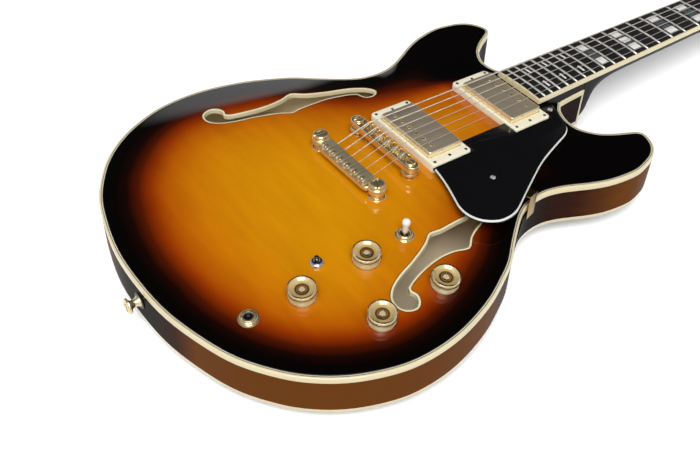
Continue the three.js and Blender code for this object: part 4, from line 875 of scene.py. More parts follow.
nickel = metal("nickel_silver", "dcdad4", "efede7", 0.3, 0.6)
wires = bmesh.new()
for number in range(1, FRET_COUNT + 1):
    y = fret_place(number)
    reach = board_half(y) - BOARD_BINDING + FRET_OVERLAP
    rings = []
    for share in FRET_STATIONS:
        x, end = share * reach, FRET_END if abs(share) == 1 else 1.0
        foot = board_top(y) - crown_drop(x)
        rings.append([(x, y + a * FRET_HALF * end, foot + b * FRET_HEIGHT * end) for a, b in FRET_PROFILE])
    gather(wires, swept(rings))
frets = new_piece("frets", wires, nickel, crease=60)
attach(frets, "guitar")
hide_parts("fretboard")

# Position inlays: mother of pearl with grey abalone between, let into the board and glued.
# Thin bars mark the high frets; blocks split by abalone mark the low ones.
INLAY_RISE = 0.06
INLAY_SUNK = 0.5
BAR_FRETS = (21, 19, 17)
BAR_X = 12.5
BAR_HALF = (4.6, 1.2)
SPLIT_FRETS = (15, 9, 7, 5, 3, 1)
TRIPLE_FRET = 12
INLAY_HALF_SHARE = 0.3
INLAY_HALF_MOST = 7.0
OUTER_SHARE = 0.68
INNER_SHARE = 0.48
MIDDLE_SHARE = 0.5


def shell(name, stops, scale):
    """Iridescent shell or smooth plastic: tints swirled through a ground, under polish."""
    return mottled(name, stops, 0.22, scale, 5.0, (1, 0.5, 1), {"Coat Weight": 0.6})


def inlay(shapes, number, left, right, half_length):
    """Adds a thin block between two places across the board, in the middle of a fret's space."""
    middle = (fret_place(number) + fret_place(number - 1)) / 2
    corners = ((-1, -INLAY_SUNK), (1, -INLAY_SUNK), (1, INLAY_RISE), (-1, INLAY_RISE))
    rings = []
    for x in np.linspace(left, right, 4):
        places = [(middle + s * half_length, rise - crown_drop(x)) for s, rise in corners]
        rings.append([(x, y, board_top(y) + rise) for y, rise in places])
    gather(shapes, swept(rings))


pearl_shapes, abalone_shapes = bmesh.new(), bmesh.new()
for number in BAR_FRETS:
    for x in (-BAR_X, BAR_X):
        inlay(pearl_shapes, number, x - BAR_HALF[0], x + BAR_HALF[0], BAR_HALF[1])
for number in SPLIT_FRETS + (TRIPLE_FRET,):
    space = fret_place(number - 1) - fret_place(number)
    half_length = min(INLAY_HALF_SHARE * space, INLAY_HALF_MOST)
    reach = board_half(fret_place(number)) * OUTER_SHARE
    inner = reach * INNER_SHARE
    middle = inner * MIDDLE_SHARE if number == TRIPLE_FRET else 0
    for low, high in ((-reach, -inner), (inner, reach)):
        inlay(pearl_shapes, number, low, high, half_length)
    if middle:
        inlay(pearl_shapes, number, -middle, middle, half_length)
        inlay(abalone_shapes, number, -inner, -middle, half_length)
        inlay(abalone_shapes, number, middle, inner, half_length)
    else:
        inlay(abalone_shapes, number, -inner, inner, half_length)
pearl = shell("pearl", [(0.3, "d9dcdc"), (0.5, "f1eee9"), (0.7, "e2dcd8")], 300)
abalone = shell("abalone", [(0.25, "2b3434"), (0.45, "4c5654"), (0.6, "5a5562"), (0.75, "37403f")], 220)
for name, shapes, material in (("pearl", pearl_shapes, pearl), ("abalone", abalone_shapes, abalone)):
    inlays = new_piece(name + "_inlays", shapes, material)
    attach(inlays, "guitar")
    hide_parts("fretboard")

# Nut: a slotted piece of bone glued at the end of the fretboard.
# It keeps the solid model's shape, whose slots hold the strings.
bone_stops = [(0.3, "d8cfb4"), (0.7, "ece5d2")]
bone = mottled("bone", bone_stops, 0.4, 120, 4.0, (0.3, 1, 1), {"Subsurface Weight": 0.05})
keep_shape("nut", bone)

# Truss rod cover: a bell-shaped plate of black plastic over white, with a bevelled white edge.
# Three small gold-plated wood screws hold it on the head's face, over the rod's adjusting nut.
COVER_POINTS = [(-11, 7), (11, 7), (11, 17), (5, 35), (3, 45.3), (0, 47), (-3, 45.3), (-5, 35), (-11, 17)]
COVER_TOP = 2.2
COVER_SECTION = [(0, 0.05), (0, 1.0), (0.9, 2.18), (0.95, COVER_TOP)]
COVER_SCREWS = [(-8, 10.5), (8, 10.5), (0, 42.5)]
GUARD_LINES = [(0, "e9e9e4"), (0.12, "101012"), (1, "101012")]
guard_black = lined_plastic("three_ply_black", "rim", GUARD_LINES, "e4e4e4", 50, 0.12, {
    "Specular IOR Level": 0.35,
})
cover_loop = smooth_loop(COVER_POINTS, 5, (0, 1))
rod_cover = new_piece("rod_cover", swept(layers(cover_loop, COVER_SECTION)), guard_black, at=head_face)
points = drawn_points(rod_cover, head_face)
on_top = points[:, 2] > COVER_TOP - 0.01
with_values(rod_cover, "rim", np.where(on_top, 1.0, edge_distance(points[:, :2], cover_loop) / 10))
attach(rod_cover, "guitar")
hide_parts("truss_rod_cover")


def turned(profile, steps=40):
    """A shape turned about its upright axis from (radius, height) points."""
    shape = bmesh.new()
    points = [shape.verts.new((radius, 0, height)) for radius, height in profile]
    outline = points + [shape.edges.new(pair) for pair in zip(points, points[1:])]
    bmesh.ops.spin(
        shape, geom=outline, axis=(0, 0, 1), cent=(0, 0, 0), steps=steps, angle=2 * pi, use_merge=True)
    bmesh.ops.remove_doubles(shape, verts=shape.verts[:], dist=0.002)
    bmesh.ops.recalc_face_normals(shape, faces=shape.faces[:])
    return shape


def slotted(shape, width, depth, low, turn):
    """Cuts a driver's slot across the faces above a height."""
    side = Matrix.Rotation(turn, 3, "Z") @ Vector((1, 0, 0))
    for place in (side * (-width / 2), side * (width / 2)):
        everything = shape.verts[:] + shape.edges[:] + shape.faces[:]
        bmesh.ops.bisect_plane(shape, geom=everything, plane_co=place, plane_no=side, dist=0.0001)
    slot_floor = []
    for face in shape.faces:
        middle = face.calc_center_median()
        if abs(middle.dot(side)) < width / 2 and middle.z > low and face.normal.z > 0.3:
            slot_floor.append(face)
    made = bmesh.ops.extrude_face_region(shape, geom=slot_floor)["geom"]
    sunk = [item for item in made if isinstance(item, bmesh.types.BMVert)]
    bmesh.ops.translate(shape, vec=(0, 0, -depth), verts=sunk)
    bmesh.ops.delete(shape, geom=slot_floor, context="FACES")
    return shape


def screw_head(radius, height, turn=0.4, cross=True):
    """A domed screw head with a slot, or with a cross of two slots."""
    shape = turned([
        (0, -1), (radius, -1), (radius, 0), (radius * 0.92, height * 0.45),
        (radius * 0.6, height * 0.85), (0, height)], 20)
    for slot_turn in (turn, turn + pi / 2) if cross else (turn,):
        slotted(shape, radius * 0.34, height * 0.8, -0.5, slot_turn)
    return shape


def moved(x, y, z=0.0):
    return Matrix.Translation((x, y, z))


gold = metal("gold_plate", "e8d09c", "faeac4", 0.13, 0.9)
cover_screws = bmesh.new()
for x, y in COVER_SCREWS:
    gather(cover_screws, screw_head(1.6, 0.7), moved(x, y, COVER_TOP))
rod_screws = new_piece("rod_cover_screws", cover_screws, gold, at=head_face)
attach(rod_screws, "guitar")
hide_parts("truss_rod_cover")

# Tuner housings: gold-plated plates screwed behind the head, each with three gear housings.
# A threaded bushing with a round flange guides each post through the face.
TUNER_FIRST = 42.0
TUNER_PITCH = 40.0
TUNER_X = 26.0
PLATE_HALF = (6, 49.8)
PLATE_HIGH = -14.3
PLATE_SECTION = [(0, PLATE_HIGH), (0, PLATE_HIGH - 0.9), (0.3, PLATE_HIGH - 1.2)]
KEY_AXIS = -19.3
HOUSING_PROFILE = [(0, -14.6), (7.7, -14.6), (8, -15.2), (8, -21.5), (7.2, -22.5), (5.2, -22.8), (0, -22.8)]
BUSHING_PROFILE = [
    (0, -1), (6.2, -1), (6.2, 0.5), (5.6, 0.9), (4.4, 1.1), (4.2, 1.6), (3.35, 1.6), (3.35, 0.2), (0, 0.2),
]
SLEEVE_PROFILE = [(0, 5.5), (3.4, 5.5), (3.4, 9.4), (2.9, 9.9), (0, 9.9)]


def rounded_rectangle(half_width, half_length, corner, steps=6):
    """An anticlockwise loop about the origin."""
    points = []
    for sx, sy, turn in ((1, -1, -1), (1, 1, 0), (-1, 1, 1), (-1, -1, 2)):
        for i in range(steps + 1):
            angle = (turn + i / steps) * pi / 2
            x = sx * (half_width - corner) + corner * cos(angle)
            points.append((x, sy * (half_length - corner) + corner * sin(angle)))
    return np.array(points)


for side, sign in SIGNS.items():
    strip_loop = rounded_rectangle(*PLATE_HALF, 3) + (sign * TUNER_X, TUNER_FIRST + TUNER_PITCH)
    plates = swept(layers(strip_loop, PLATE_SECTION))
    for row in range(3):
        middle = moved(sign * TUNER_X, TUNER_FIRST + TUNER_PITCH * row)
        sideways = middle @ moved(0, 0, KEY_AXIS) @ Matrix.Rotation(sign * pi / 2, 4, "Y")
        gather(plates, turned(HOUSING_PROFILE), middle)
        gather(plates, turned(BUSHING_PROFILE), middle)
        gather(plates, turned(SLEEVE_PROFILE, 24), sideways)
    tuner_plates = new_piece(side + "_tuner_housings", plates, gold, at=head_face, crease=50)
    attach(tuner_plates, "guitar")
    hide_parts(side + "_tuner_plate")

# Tuner posts and keys: turned posts with a waist for the string, and kidney-shaped buttons on
# worm shafts, all gold-plated. A key turns its post through the gear in the housing.
POST_PROFILE = [
    (0, -16), (3, -16), (3, 5.8), (2.75, 6.6), (2.3, 9.2), (2.4, 10.6), (2.95, 11.6), (3, 14.2),
    (2.6, 14.8), (1.4, 15), (1.2, 13.6), (0, 13.6),
]
SHAFT_PROFILE = [(0, 4.2), (1.9, 4.2), (1.9, 14.6), (2.6, 15.4), (2.6, 16.6), (0, 16.6)]
KEY_PROFILE = [
    (0, 16.4), (2.6, 16.6), (4.2, 17.6), (6.4, 20.2), (7.5, 24), (7.4, 26.8), (5.6, 29.4), (2.6, 29.9),
    (0, 29.6),
]
KEY_FLATNESS = 0.42
for side, sign in SIGNS.items():
    for row in range(3):
        name = f"{side}_{row + 1}"
        middle = head_face @ moved(sign * TUNER_X, TUNER_FIRST + TUNER_PITCH * row)
        post = new_piece(name + "_tuner_post", turned(POST_PROFILE, 28), gold, at=middle, crease=50)
        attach(post, name + "_post")
        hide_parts(name + "_post")
        key_shape = turned(SHAFT_PROFILE, 24)
        gather(key_shape, turned(KEY_PROFILE, 32), Matrix.Diagonal((1, KEY_FLATNESS, 1, 1)))
        key_shape.transform(Matrix.Rotation(sign * pi / 2, 4, "Y") @ Matrix.Rotation(pi / 2, 4, "Z"))
        on_axis = middle @ moved(0, 0, KEY_AXIS)
        key = new_piece(name + "_tuner_key", key_shape, gold, at=on_axis, crease=60)
        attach(key, name + "_key")
        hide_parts(name + "_key")

# Pickup rings: ivory plastic frames, taller at the tail side, cut under to the arched top.
# Each is held by four corner screws, and a screw at each short end sets the pickup's height.
PICKUP_Y = {"neck": 143.0, "bridge": 40.9}
RING_TOP = {"neck": 10.85, "bridge": 18.3}
RING_SLOPE = 0.075
RING_SUNK = 0.25
RING_HALF = (46.2, 23.0)
OPENING_HALF = (35.4, 19.6)
RING_LAYERS = [
    (RING_HALF, 4.0, 0.9), ((45.9, 22.7), 3.8, 0.25), ((45.2, 22.0), 3.4, 0.0),
    ((35.9, 20.1), 2.9, 0.0), (OPENING_HALF, 2.6, 0.35),
]
RING_SCREWS = [(-42, -18.6), (42, -18.6), (-42, 18.6), (42, 18.6), (-40.8, 0), (40.8, 0)]
ivory = mottled("ivory_plastic", [(0.2, "eee6ca"), (0.8, "f4edd6")], 0.28, 35, more={
    "Subsurface Weight": 0.03,
})
dark_steel = metal("dark_steel", "4a4640", "6d675c", 0.3)


def ring_rise(name, y):
    return RING_TOP[name] - RING_SLOPE * (y - PICKUP_Y[name])


def on_ring(name, x, y, rise=0.0):
    """Square to a pickup ring's sloping top, at a place counted from the pickup's middle."""
    y += PICKUP_Y[name]
    return moved(x, y, ring_rise(name, y) + rise) @ Matrix.Rotation(-RING_SLOPE, 4, "X")


def ring_foot(name, size, corner):
    """A ring that lies just under the arched top's face."""
    loop = rounded_rectangle(*size, corner) + (0, PICKUP_Y[name])
    return at_height(loop, top_height(*loop.T) - RING_SUNK)


for name in PICKUP_Y:
    rings = [ring_foot(name, RING_HALF, 4.0)]
    for size, corner, drop in RING_LAYERS:
        loop = rounded_rectangle(*size, corner) + (0, PICKUP_Y[name])
        rings.append(at_height(loop, ring_rise(name, loop[:, 1]) - drop))
    rings.append(ring_foot(name, OPENING_HALF, 2.6))
    ring = new_piece(name + "_ring", swept(rings, closed=True), ivory, crease=50)
    heads = bmesh.new()
    for x, y in RING_SCREWS:
        gather(heads, screw_head(1.55, 0.7, turn=x + y), on_ring(name, x, y))
    ring_screws = new_piece(name + "_ring_screws", heads, dark_steel)
    for part, finish in ((ring, "ivory_ring"), (ring_screws, "gold_metal")):
        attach(part, "guitar")
        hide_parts(name + "_pickup_ring")

# Pickups: two coils under a gold-plated cover, with one row of six screw poles.
# A cover is drawn from sheet metal with soft corners, and the poles stand just proud of it.
COVER_HALF = (35.0, 19.2)
COVER_RISE = 5.2
COVER_LAYERS = [(0, 2.5, -5.0), (0, 2.5, 4.1), (0.15, 2.4, 4.65), (0.5, 2.2, 5.05), (1.1, 1.8, COVER_RISE)]
POLE_OFFSET = {"neck": 9.3, "bridge": -9.3}
POLE_PITCH = 10.2
# The cover's top is painted a darker, greyer gold than its sides: painted shade for the dull reflection on
# it.
cover_gold_painted_shade, tree = blank_material("cover_gold_painted_shade")
top_painted_shade = ramp(tree, noise(tree, 40), [(0.2, "c0b29c"), (0.8, "cebfa8")])
side_tone = ramp(tree, noise(tree, 30), [(0.2, "ecd9ac"), (0.8, "f8eac4")])
tones = {"Factor": stored(tree, "rim"), "A": side_tone, "B": top_painted_shade}
cover_tone_and_shade = node(tree, "ShaderNodeMix", tones, data_type="RGBA").outputs["Result"]
surface_of(tree, cover_tone_and_shade, 0.25, {"Metallic": 0.65})
for name in PICKUP_Y:
    on_cover = on_ring(name, 0, 0)
    cover_rings = []
    for inwards, corner, rise in COVER_LAYERS:
        loop = rounded_rectangle(COVER_HALF[0] - inwards, COVER_HALF[1] - inwards, corner)
        cover_rings.append(at_height(loop, rise))
    cover = new_piece(name + "_cover", swept(cover_rings), cover_gold_painted_shade, at=on_cover, crease=50)
    with_values(cover, "rim", drawn_points(cover, on_cover)[:, 2] > COVER_RISE - 0.1)
    poles = bmesh.new()
    for i in range(6):
        place = on_ring(name, (i - 2.5) * POLE_PITCH, POLE_OFFSET[name], COVER_RISE)
        gather(poles, screw_head(2.3, 0.7, turn=i * 1.3, cross=False), place)
    pole_screws = new_piece(name + "_poles", poles, gold)
    for part in (cover, pole_screws):
        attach(part, "guitar")
        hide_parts(name + "_pickup")

# Bridge: a cast, gold-plated bar with a channel for six saddles.
# Each saddle is a wedge moved by its own screw. The bar drops over two posts with thumbwheels.
BRIDGE_Y = -2.4
BRIDGE_LAYERS = [
    ((44.4, 5.4), 5.4, 20.0), ((45.0, 6.0), 6.0, 20.6), ((45.0, 6.0), 6.0, 26.9), ((44.6, 5.6), 5.6, 27.5),
    ((44.0, 5.0), 5.0, 27.6), ((31.5, 4.2), 0.8, 27.6), ((31.5, 4.2), 0.8, 23.5),
]
SADDLE_HALF = 3.6
SADDLE_LOW = 23.6
SADDLE_SHOULDER = 27.6
SADDLE_STATIONS = (-3.2, -0.9, 0.9, 3.2)
SADDLE_PEAKS = (0.6, 0.6, -0.8, 0.6, 0.6, -0.8)
SADDLE_ROD = [(0, -5.6), (0.9, -5.6), (0.9, 7.2), (1.7, 7.2), (1.7, 8.3), (1.2, 8.7), (0, 8.7)]
SADDLE_ROD_Z = 25.6
STRING_RADII = (0.62, 0.5, 0.4, 0.32, 0.26, 0.22)
STRING_AT_BRIDGE = 31.3
STRING_OVER_BOARD = 1.9
BRIDGE_SPREAD = 52.0
NUT_SPREAD = 35.0


def string_at(i, y):
    """The middle of a string over a place along its length."""
    at_nut = board_top(SCALE_LENGTH) + STRING_OVER_BOARD
    height = STRING_AT_BRIDGE + (at_nut - STRING_AT_BRIDGE) * y / SCALE_LENGTH
    x = (i / 5 - 0.5) * (BRIDGE_SPREAD + (NUT_SPREAD - BRIDGE_SPREAD) * y / SCALE_LENGTH)
    return (x, y, height - crown_drop(x))


bridge_shape = swept([
    at_height(rounded_rectangle(*size, corner) + (0, BRIDGE_Y), z) for size, corner, z in BRIDGE_LAYERS])
for i, (radius, peak) in enumerate(zip(STRING_RADII, SADDLE_PEAKS)):
    x, y, z = string_at(i, 0)
    high = z - radius
    tail, front = BRIDGE_Y - SADDLE_HALF, BRIDGE_Y + SADDLE_HALF
    wedge = [
        (tail, SADDLE_LOW), (front, SADDLE_LOW), (front, SADDLE_SHOULDER), (peak + 0.5, high - 0.2),
        (peak, high), (peak - 0.5, high - 0.2), (tail, SADDLE_SHOULDER)]
    gather(bridge_shape, swept([[(x + at, a, b) for a, b in wedge] for at in SADDLE_STATIONS]))
    rod = slotted(turned(SADDLE_ROD, 16), 0.5, 0.6, 8.0, 0.6 * i)
    gather(bridge_shape, rod, moved(x, BRIDGE_Y, SADDLE_ROD_Z) @ Matrix.Rotation(-pi / 2, 4, "X"))
bridge = new_piece("bridge_look", bridge_shape, gold, crease=50)
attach(bridge, "guitar")
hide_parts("bridge")

# Bridge posts: gold-plated threaded studs, screwed into bushings in the top and the block.
# Each has a knurled thumbwheel that carries the bridge, and a slotted end for a driver.
POST_X = 37.0
STUD_PROFILE = [(0, -20), (3, -20), (3, 27.75), (4.7, 27.75), (4.7, 28.8), (4.3, 29.2), (0, 29.2)]
WHEEL_PROFILE = [(0, 17.1), (7.6, 17.1), (8, 17.5), (8, 19.3), (7.6, 19.7), (0, 19.7)]
KNURL_COUNT = 30
KNURL_SHARE = 0.955
KNURL_FROM = 7.9
for side, sign in SIGNS.items():
    post_shape = slotted(turned(STUD_PROFILE, 28), 1.3, 0.9, 28.5, 0.7 + sign)
    wheel = turned(WHEEL_PROFILE, 2 * KNURL_COUNT)
    for vertex in wheel.verts:
        x, y, z = vertex.co
        step = round(np.arctan2(y, x) / pi * KNURL_COUNT)
        if hypot(x, y) > KNURL_FROM and step % 2:
            vertex.co = (x * KNURL_SHARE, y * KNURL_SHARE, z)
    gather(post_shape, wheel)
    seat = top_height(sign * POST_X, BRIDGE_Y)[0]
    gather(post_shape, turned([
        (0, seat - 0.5), (6.2, seat - 0.5), (6.2, seat + 0.6), (5.6, seat + 1.0), (0, seat + 1.0)], 28))
    post_place = moved(sign * POST_X, BRIDGE_Y)
    bridge_post = new_piece(side + "_bridge_stud", post_shape, gold, at=post_place, crease=50)
    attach(bridge_post, "guitar")
    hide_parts(side + "_bridge_post")

# Tailpiece: a cast, gold-plated bar hooked under two slotted studs.
# Six blocks stand on it with narrow gaps between them, and each is forked behind for a ball end.
TAIL_Y = -42.3
TAIL_Z = 22.15
STUD_X = 41.0
BLOCK_HALF = 4.75
BLOCK_EDGE = 0.35
BLOCK_EDGE_SHARE = 0.93
FORK_HALF = 1.7
BALL_RADIUS = 1.65
BALL_BEHIND = 5.0
BALL_Z = 24.2
TAIL_POINTS = [
    (-9.2, -3.6), (-7.0, -4.6), (5.6, -4.6), (7.4, -3.2), (7.4, -0.6), (5.0, 0.6), (-7.4, 0.6),
    (-9.2, -1.2),
]
TAIL_ENDS = [(29, 1), (33, 0.96), (35.5, 0.8), (36.5, 0.55)]
FRONT_PROFILE = [
    (-2.6, 0.2), (5.4, 0.2), (6.2, 1.2), (5.8, 2.6), (4.2, 4.4), (3.2, 4.7), (-2.6, 4.7),
]
FORK_PROFILE = [(-8.2, 0.2), (-2.4, 0.2), (-2.4, 4.7), (-6.2, 4.7), (-7.6, 3.8), (-8.2, 2.4)]
BLOCK_PARTS = [
    (-BLOCK_HALF, BLOCK_HALF, FRONT_PROFILE), (-BLOCK_HALF, -FORK_HALF, FORK_PROFILE),
    (FORK_HALF, BLOCK_HALF, FORK_PROFILE),
]
EAR_PROFILE = [
    (4.7, 17.8), (7.2, 17.8), (8.0, 18.6), (8.0, 23.6), (7.4, 24.6), (4.7, 24.9), (4.7, 17.8),
]


def across_tail(x, profile, lower=1.0, shrink=1.0):
    """A profile of the tailpiece, as points at one place across it."""
    return [(x, TAIL_Y + a * shrink, TAIL_Z + b * shrink * lower) for a, b in profile]


tail_profile = smooth_loop(TAIL_POINTS, 2)
ends = [(-x, share) for x, share in reversed(TAIL_ENDS)] + TAIL_ENDS
tail_shape = swept([across_tail(x, tail_profile, shrink=share) for x, share in ends])
block_tops, ball_ends = bmesh.new(), bmesh.new()
for i in range(6):
    middle = string_at(i, 0)[0]
    for left, right, profile in BLOCK_PARTS:
        stations = (
            (left, BLOCK_EDGE_SHARE), (left + BLOCK_EDGE, 1.0), (right - BLOCK_EDGE, 1.0),
            (right, BLOCK_EDGE_SHARE))
        gather(block_tops, swept([across_tail(middle + x, profile, lower) for x, lower in stations]))
    ball = bmesh.new()
    bmesh.ops.create_uvsphere(ball, u_segments=16, v_segments=8, radius=BALL_RADIUS)
    gather(ball_ends, ball, moved(middle, TAIL_Y - BALL_BEHIND, BALL_Z))
for sign in SIGNS.values():
    gather(tail_shape, turned(EAR_PROFILE), moved(sign * STUD_X, TAIL_Y))
# The blocks are painted a darker, greyer gold than the bar: painted shade for the dull reflection on them.
satin_with_painted_shade = metal("satin_gold_painted_shade", "a89c80", "bcae90", 0.3, 0.6)
tail_bar = new_piece("tailpiece_bar", tail_shape, gold, crease=55)
tail_blocks = new_piece("tailpiece_blocks", block_tops, satin_with_painted_shade, crease=30)
tail_balls = new_piece("tailpiece_ball_ends", ball_ends, gold, crease=60)
for part in (tail_bar, tail_blocks, tail_balls):
    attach(part, "guitar")
    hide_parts("tailpiece")

# Tailpiece studs: wide slotted screws of gold-plated steel that hold the tailpiece down.
# Each is screwed into a flanged bushing that is pressed through the top into the block.
NECK_OF_STUD = [
    (5.4, 17.6), (4.4, 17.8), (4.4, 25.2), (6.7, 25.2), (7.0, 25.6), (7.0, 27.4), (6.4, 28.1), (0, 28.1),
]
for side, sign in SIGNS.items():
    seat = top_height(sign * STUD_X, TAIL_Y)[0]
    bushing = [
        (0, -22), (4.4, -22), (4.4, seat - 0.5), (8, seat - 0.5), (8, seat + 0.7), (7.4, seat + 1.2),
        (5.4, seat + 1.3)]
    stud_shape = slotted(turned(bushing + NECK_OF_STUD, 40), 1.5, 1.2, 27.6, 0.5 * sign + 0.4)
    stud_place = moved(sign * STUD_X, TAIL_Y)
    stud = new_piece(side + "_tail_stud", stud_shape, gold, at=stud_place, crease=50)
    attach(stud, "guitar")
    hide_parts(side + "_tailpiece_stud")

# Strings: three wound and three plain steel strings, from the tailpiece over saddle and nut.
# Each ends in turns round the waist of its tuner post.
WINDING = 3.2
POST_WAIST = 2.45
TURN_STEPS = 12
TURN_POINTS = 28
TURN_HEIGHT = 10.4
TURN_PITCH = 2.1
string_steel, tree = blank_material("string_steel")
turns_along = combine(tree, "MULTIPLY", stored(tree, "turns"), 2 * pi)
ridge = node(tree, "ShaderNodeMath", {0: turns_along}, operation="SINE").outputs[0]
steel_tone = ramp(tree, noise(tree, 80), [(0.3, "d8d0c4"), (0.7, "f0eae0")])
relief = node(tree, "ShaderNodeBump", {"Height": ridge, "Strength": 0.35, "Distance": 0.0002})
surface_of(tree, steel_tone, 0.3, {"Metallic": 0.7, "Normal": relief.outputs[0]})


def wire(path, radius, sides=8):
    """A round wire along a path of points."""
    path = [Vector(point) for point in path]
    rings = []
    for i, point in enumerate(path):
        ahead = (path[min(i + 1, len(path) - 1)] - path[max(i - 1, 0)]).normalized()
        across = Vector((0, 0, 1)).cross(ahead).normalized()
        upward = ahead.cross(across)
        angles = [k * 2 * pi / sides for k in range(sides)]
        rings.append([point + across * (cos(a) * radius) + upward * (sin(a) * radius) for a in angles])
    return swept(rings)


for i, radius in enumerate(STRING_RADII):
    bass = i < 3
    row = i if bass else 5 - i
    side, sign = ("bass", -1) if bass else ("treble", 1)
    saddle, nut_end = Vector(string_at(i, 0)), Vector(string_at(i, HEAD_FACE_Y))
    path = [Vector((saddle.x, TAIL_Y + 6.0, 22.3)), Vector((saddle.x, TAIL_Y + 9.4, 22.5))]
    path += [path[-1].lerp(saddle, t) for t in (0.5, 0.97)] + [saddle, saddle.lerp(nut_end, 0.02)]
    path += [saddle.lerp(nut_end, t) for t in np.linspace(0.2, 1, 5)]
    wrap, drop = POST_WAIST + radius, TURN_PITCH * radius / TURN_STEPS
    turns = []
    for k in range(TURN_POINTS):
        angle = k * 2 * pi / TURN_STEPS
        x = sign * (TUNER_X - cos(angle) * wrap)
        y = TUNER_FIRST + TUNER_PITCH * row + sin(angle) * wrap
        turns.append(head_face @ Vector((x, y, TURN_HEIGHT - k * drop)))
    path += [nut_end.lerp(turns[0], t) for t in (0.04, 0.5)] + turns
    string = new_piece(f"string_{i + 1}", wire(path, radius), string_steel, crease=80)
    with_values(string, "turns", drawn_points(string)[:, 1] * WINDING * bass)
    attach(string, "guitar")
    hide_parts(f"{side}_{row + 1}_string")

# Pickguard: three-ply plastic with a bevelled white edge, cut round both pickup rings.
# It floats above the top on a spacer by the neck and a bracket at the waist.
GUARD_PLACE = (30.0, -0.3)
GUARD_SIZE = (101.0, 184.3)
GUARD_THICKNESS = 3.0
GUARD_UNDER_RING = 0.5
GUARD_WHITE_DEPTH = (0.01, 1.6)
GUARD_WHITE_REACH = 1.2
RING_CLEAR = (46.5, 23.3)
GUARD_SHARES = [
    (0.188, 0.090), (0.305, 0.075), (0.450, 0.050), (0.594, 0.020), (0.663, 0.006), (0.742, 0.000),
    (0.818, 0.005), (0.901, 0.028), (0.960, 0.065), (0.994, 0.107), (1.000, 0.155), (0.986, 0.200),
    (0.953, 0.246), (0.846, 0.351), (0.674, 0.524), (0.604, 0.604), (0.541, 0.693), (0.485, 0.780),
    (0.440, 0.851), (0.389, 0.896), (0.321, 0.924), (0.159, 0.965), (0.004, 1.000),
]
GUARD_SECTION = [(0, -GUARD_THICKNESS), (0, -1.5), (1.0, -0.02), (1.05, 0.0)]
SPACER_PLACE = (38, 173.5)
SPACER_RADIUS = 3
SPACER_TOP = 5.5
BRACKET_SCREW = (84.9, 52.6)
GUARD_SLOPE = (RING_TOP["bridge"] - RING_TOP["neck"]) / (PICKUP_Y["neck"] - PICKUP_Y["bridge"])


def guard_top(x, y):
    """Height of the guard's flat face, just under the rings' tops."""
    return RING_TOP["bridge"] - GUARD_UNDER_RING - GUARD_SLOPE * (y - PICKUP_Y["bridge"])


free_edge = [np.multiply(share, GUARD_SIZE) + GUARD_PLACE for share in GUARD_SHARES]
free_fine = [tuple(point) for point in smooth_line(free_edge, 3)]
guard_inner, notch_x = GUARD_PLACE[0], RING_CLEAR[0]
neck_low, neck_high = PICKUP_Y["neck"] - RING_CLEAR[1], PICKUP_Y["neck"] + RING_CLEAR[1]
bridge_high = PICKUP_Y["bridge"] + RING_CLEAR[1]
notches = [
    (guard_inner, neck_high), (notch_x, neck_high), (notch_x, neck_low), (guard_inner, neck_low),
    (guard_inner, bridge_high), (notch_x, bridge_high), (notch_x, free_edge[0][1]),
]
guard_loop = np.array(free_fine + notches)
guard_shape = swept(layers(guard_loop, GUARD_SECTION, guard_top))
guard = new_piece("guard_plate", guard_shape, guard_black, crease=30)
points = drawn_points(guard)
free_line = np.array(free_fine + free_fine[-2:0:-1])
to_edge = edge_distance(points[:, :2], free_line)
deep = guard_top(*points[:, :2].T) - points[:, 2]
white = (deep >= GUARD_WHITE_DEPTH[0]) & (deep <= GUARD_WHITE_DEPTH[1]) & (to_edge <= GUARD_WHITE_REACH)
with_values(guard, "rim", np.where(white, to_edge / 10, 1.0))
seat = top_height(*SPACER_PLACE)[0]
spacer = turned([
    (0, seat - 0.3), (SPACER_RADIUS, seat - 0.3), (SPACER_RADIUS, SPACER_TOP), (0, SPACER_TOP)], 24)
guard_post = new_piece("guard_spacer", spacer, gold, at=moved(*SPACER_PLACE))
guard_screws = bmesh.new()
for x, y in (BRACKET_SCREW, SPACER_PLACE):
    gather(guard_screws, screw_head(2.6, 0.9, 0.5, cross=False), moved(x, y, guard_top(x, y)))
guard_heads = new_piece("guard_screws", guard_screws, nickel)
for part, finish in ((guard, "guard_black"), (guard_post, "gold_metal"), (guard_heads, "gold_metal")):
    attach(part, "guitar")
    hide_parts("pickguard")

# Pickguard bracket: a bent gold-plated strip from under the guard to a screw in the side.
# It keeps the solid model's shape.
keep_shape("pickguard_bracket", metal("bracket_gold", "8e7440", "a68a52", 0.2))

# Knobs: clear plastic turned like a small hat, with gold paint under the middle.
# Each presses on the shaft of its control, and dark marks run round the crown.
KNOB_PLACES = {
    "neck_volume": (93.3, -94.0), "neck_tone": (93.0, -157.0),
    "bridge_volume": (147.7, -57.3), "bridge_tone": (147.7, -121.0),
}
CUP_PROFILE = [
    (0, 0.95), (11.3, 0.95), (11.6, 1.3), (11.6, 3.1), (11.2, 3.7), (10.5, 4.5), (10.2, 5.8),
    (10.4, 7.2), (11.1, 8.1), (11.4, 8.8), (11.4, 10.1), (10.9, 10.6), (10.2, 10.3), (9.1, 9.2),
    (7.9, 8.7), (0, 8.6),
]
CAP_PROFILE = [
    (0, 8.8), (7.8, 8.9), (9.0, 9.4), (10.1, 10.5), (10.9, 10.8), (11.55, 10.2), (11.55, 8.75),
    (11.25, 8.0), (10.55, 7.1), (10.35, 5.8), (10.65, 4.6), (11.3, 3.85), (11.75, 3.2), (11.75, 1.2),
    (11.5, 0.9), (12.2, 0.9), (12.4, 1.3), (12.4, 3.4), (12.0, 4.0), (11.3, 4.7), (11.0, 5.8),
    (11.2, 7.0), (11.9, 7.9), (12.1, 8.6), (12.1, 10.6), (11.8, 11.2), (11.0, 11.4), (9.9, 11.1),
    (8.8, 10.0), (7.6, 9.5), (3.6, 9.4), (3.3, 10.1), (2.8, 10.4), (0, 10.4),
]
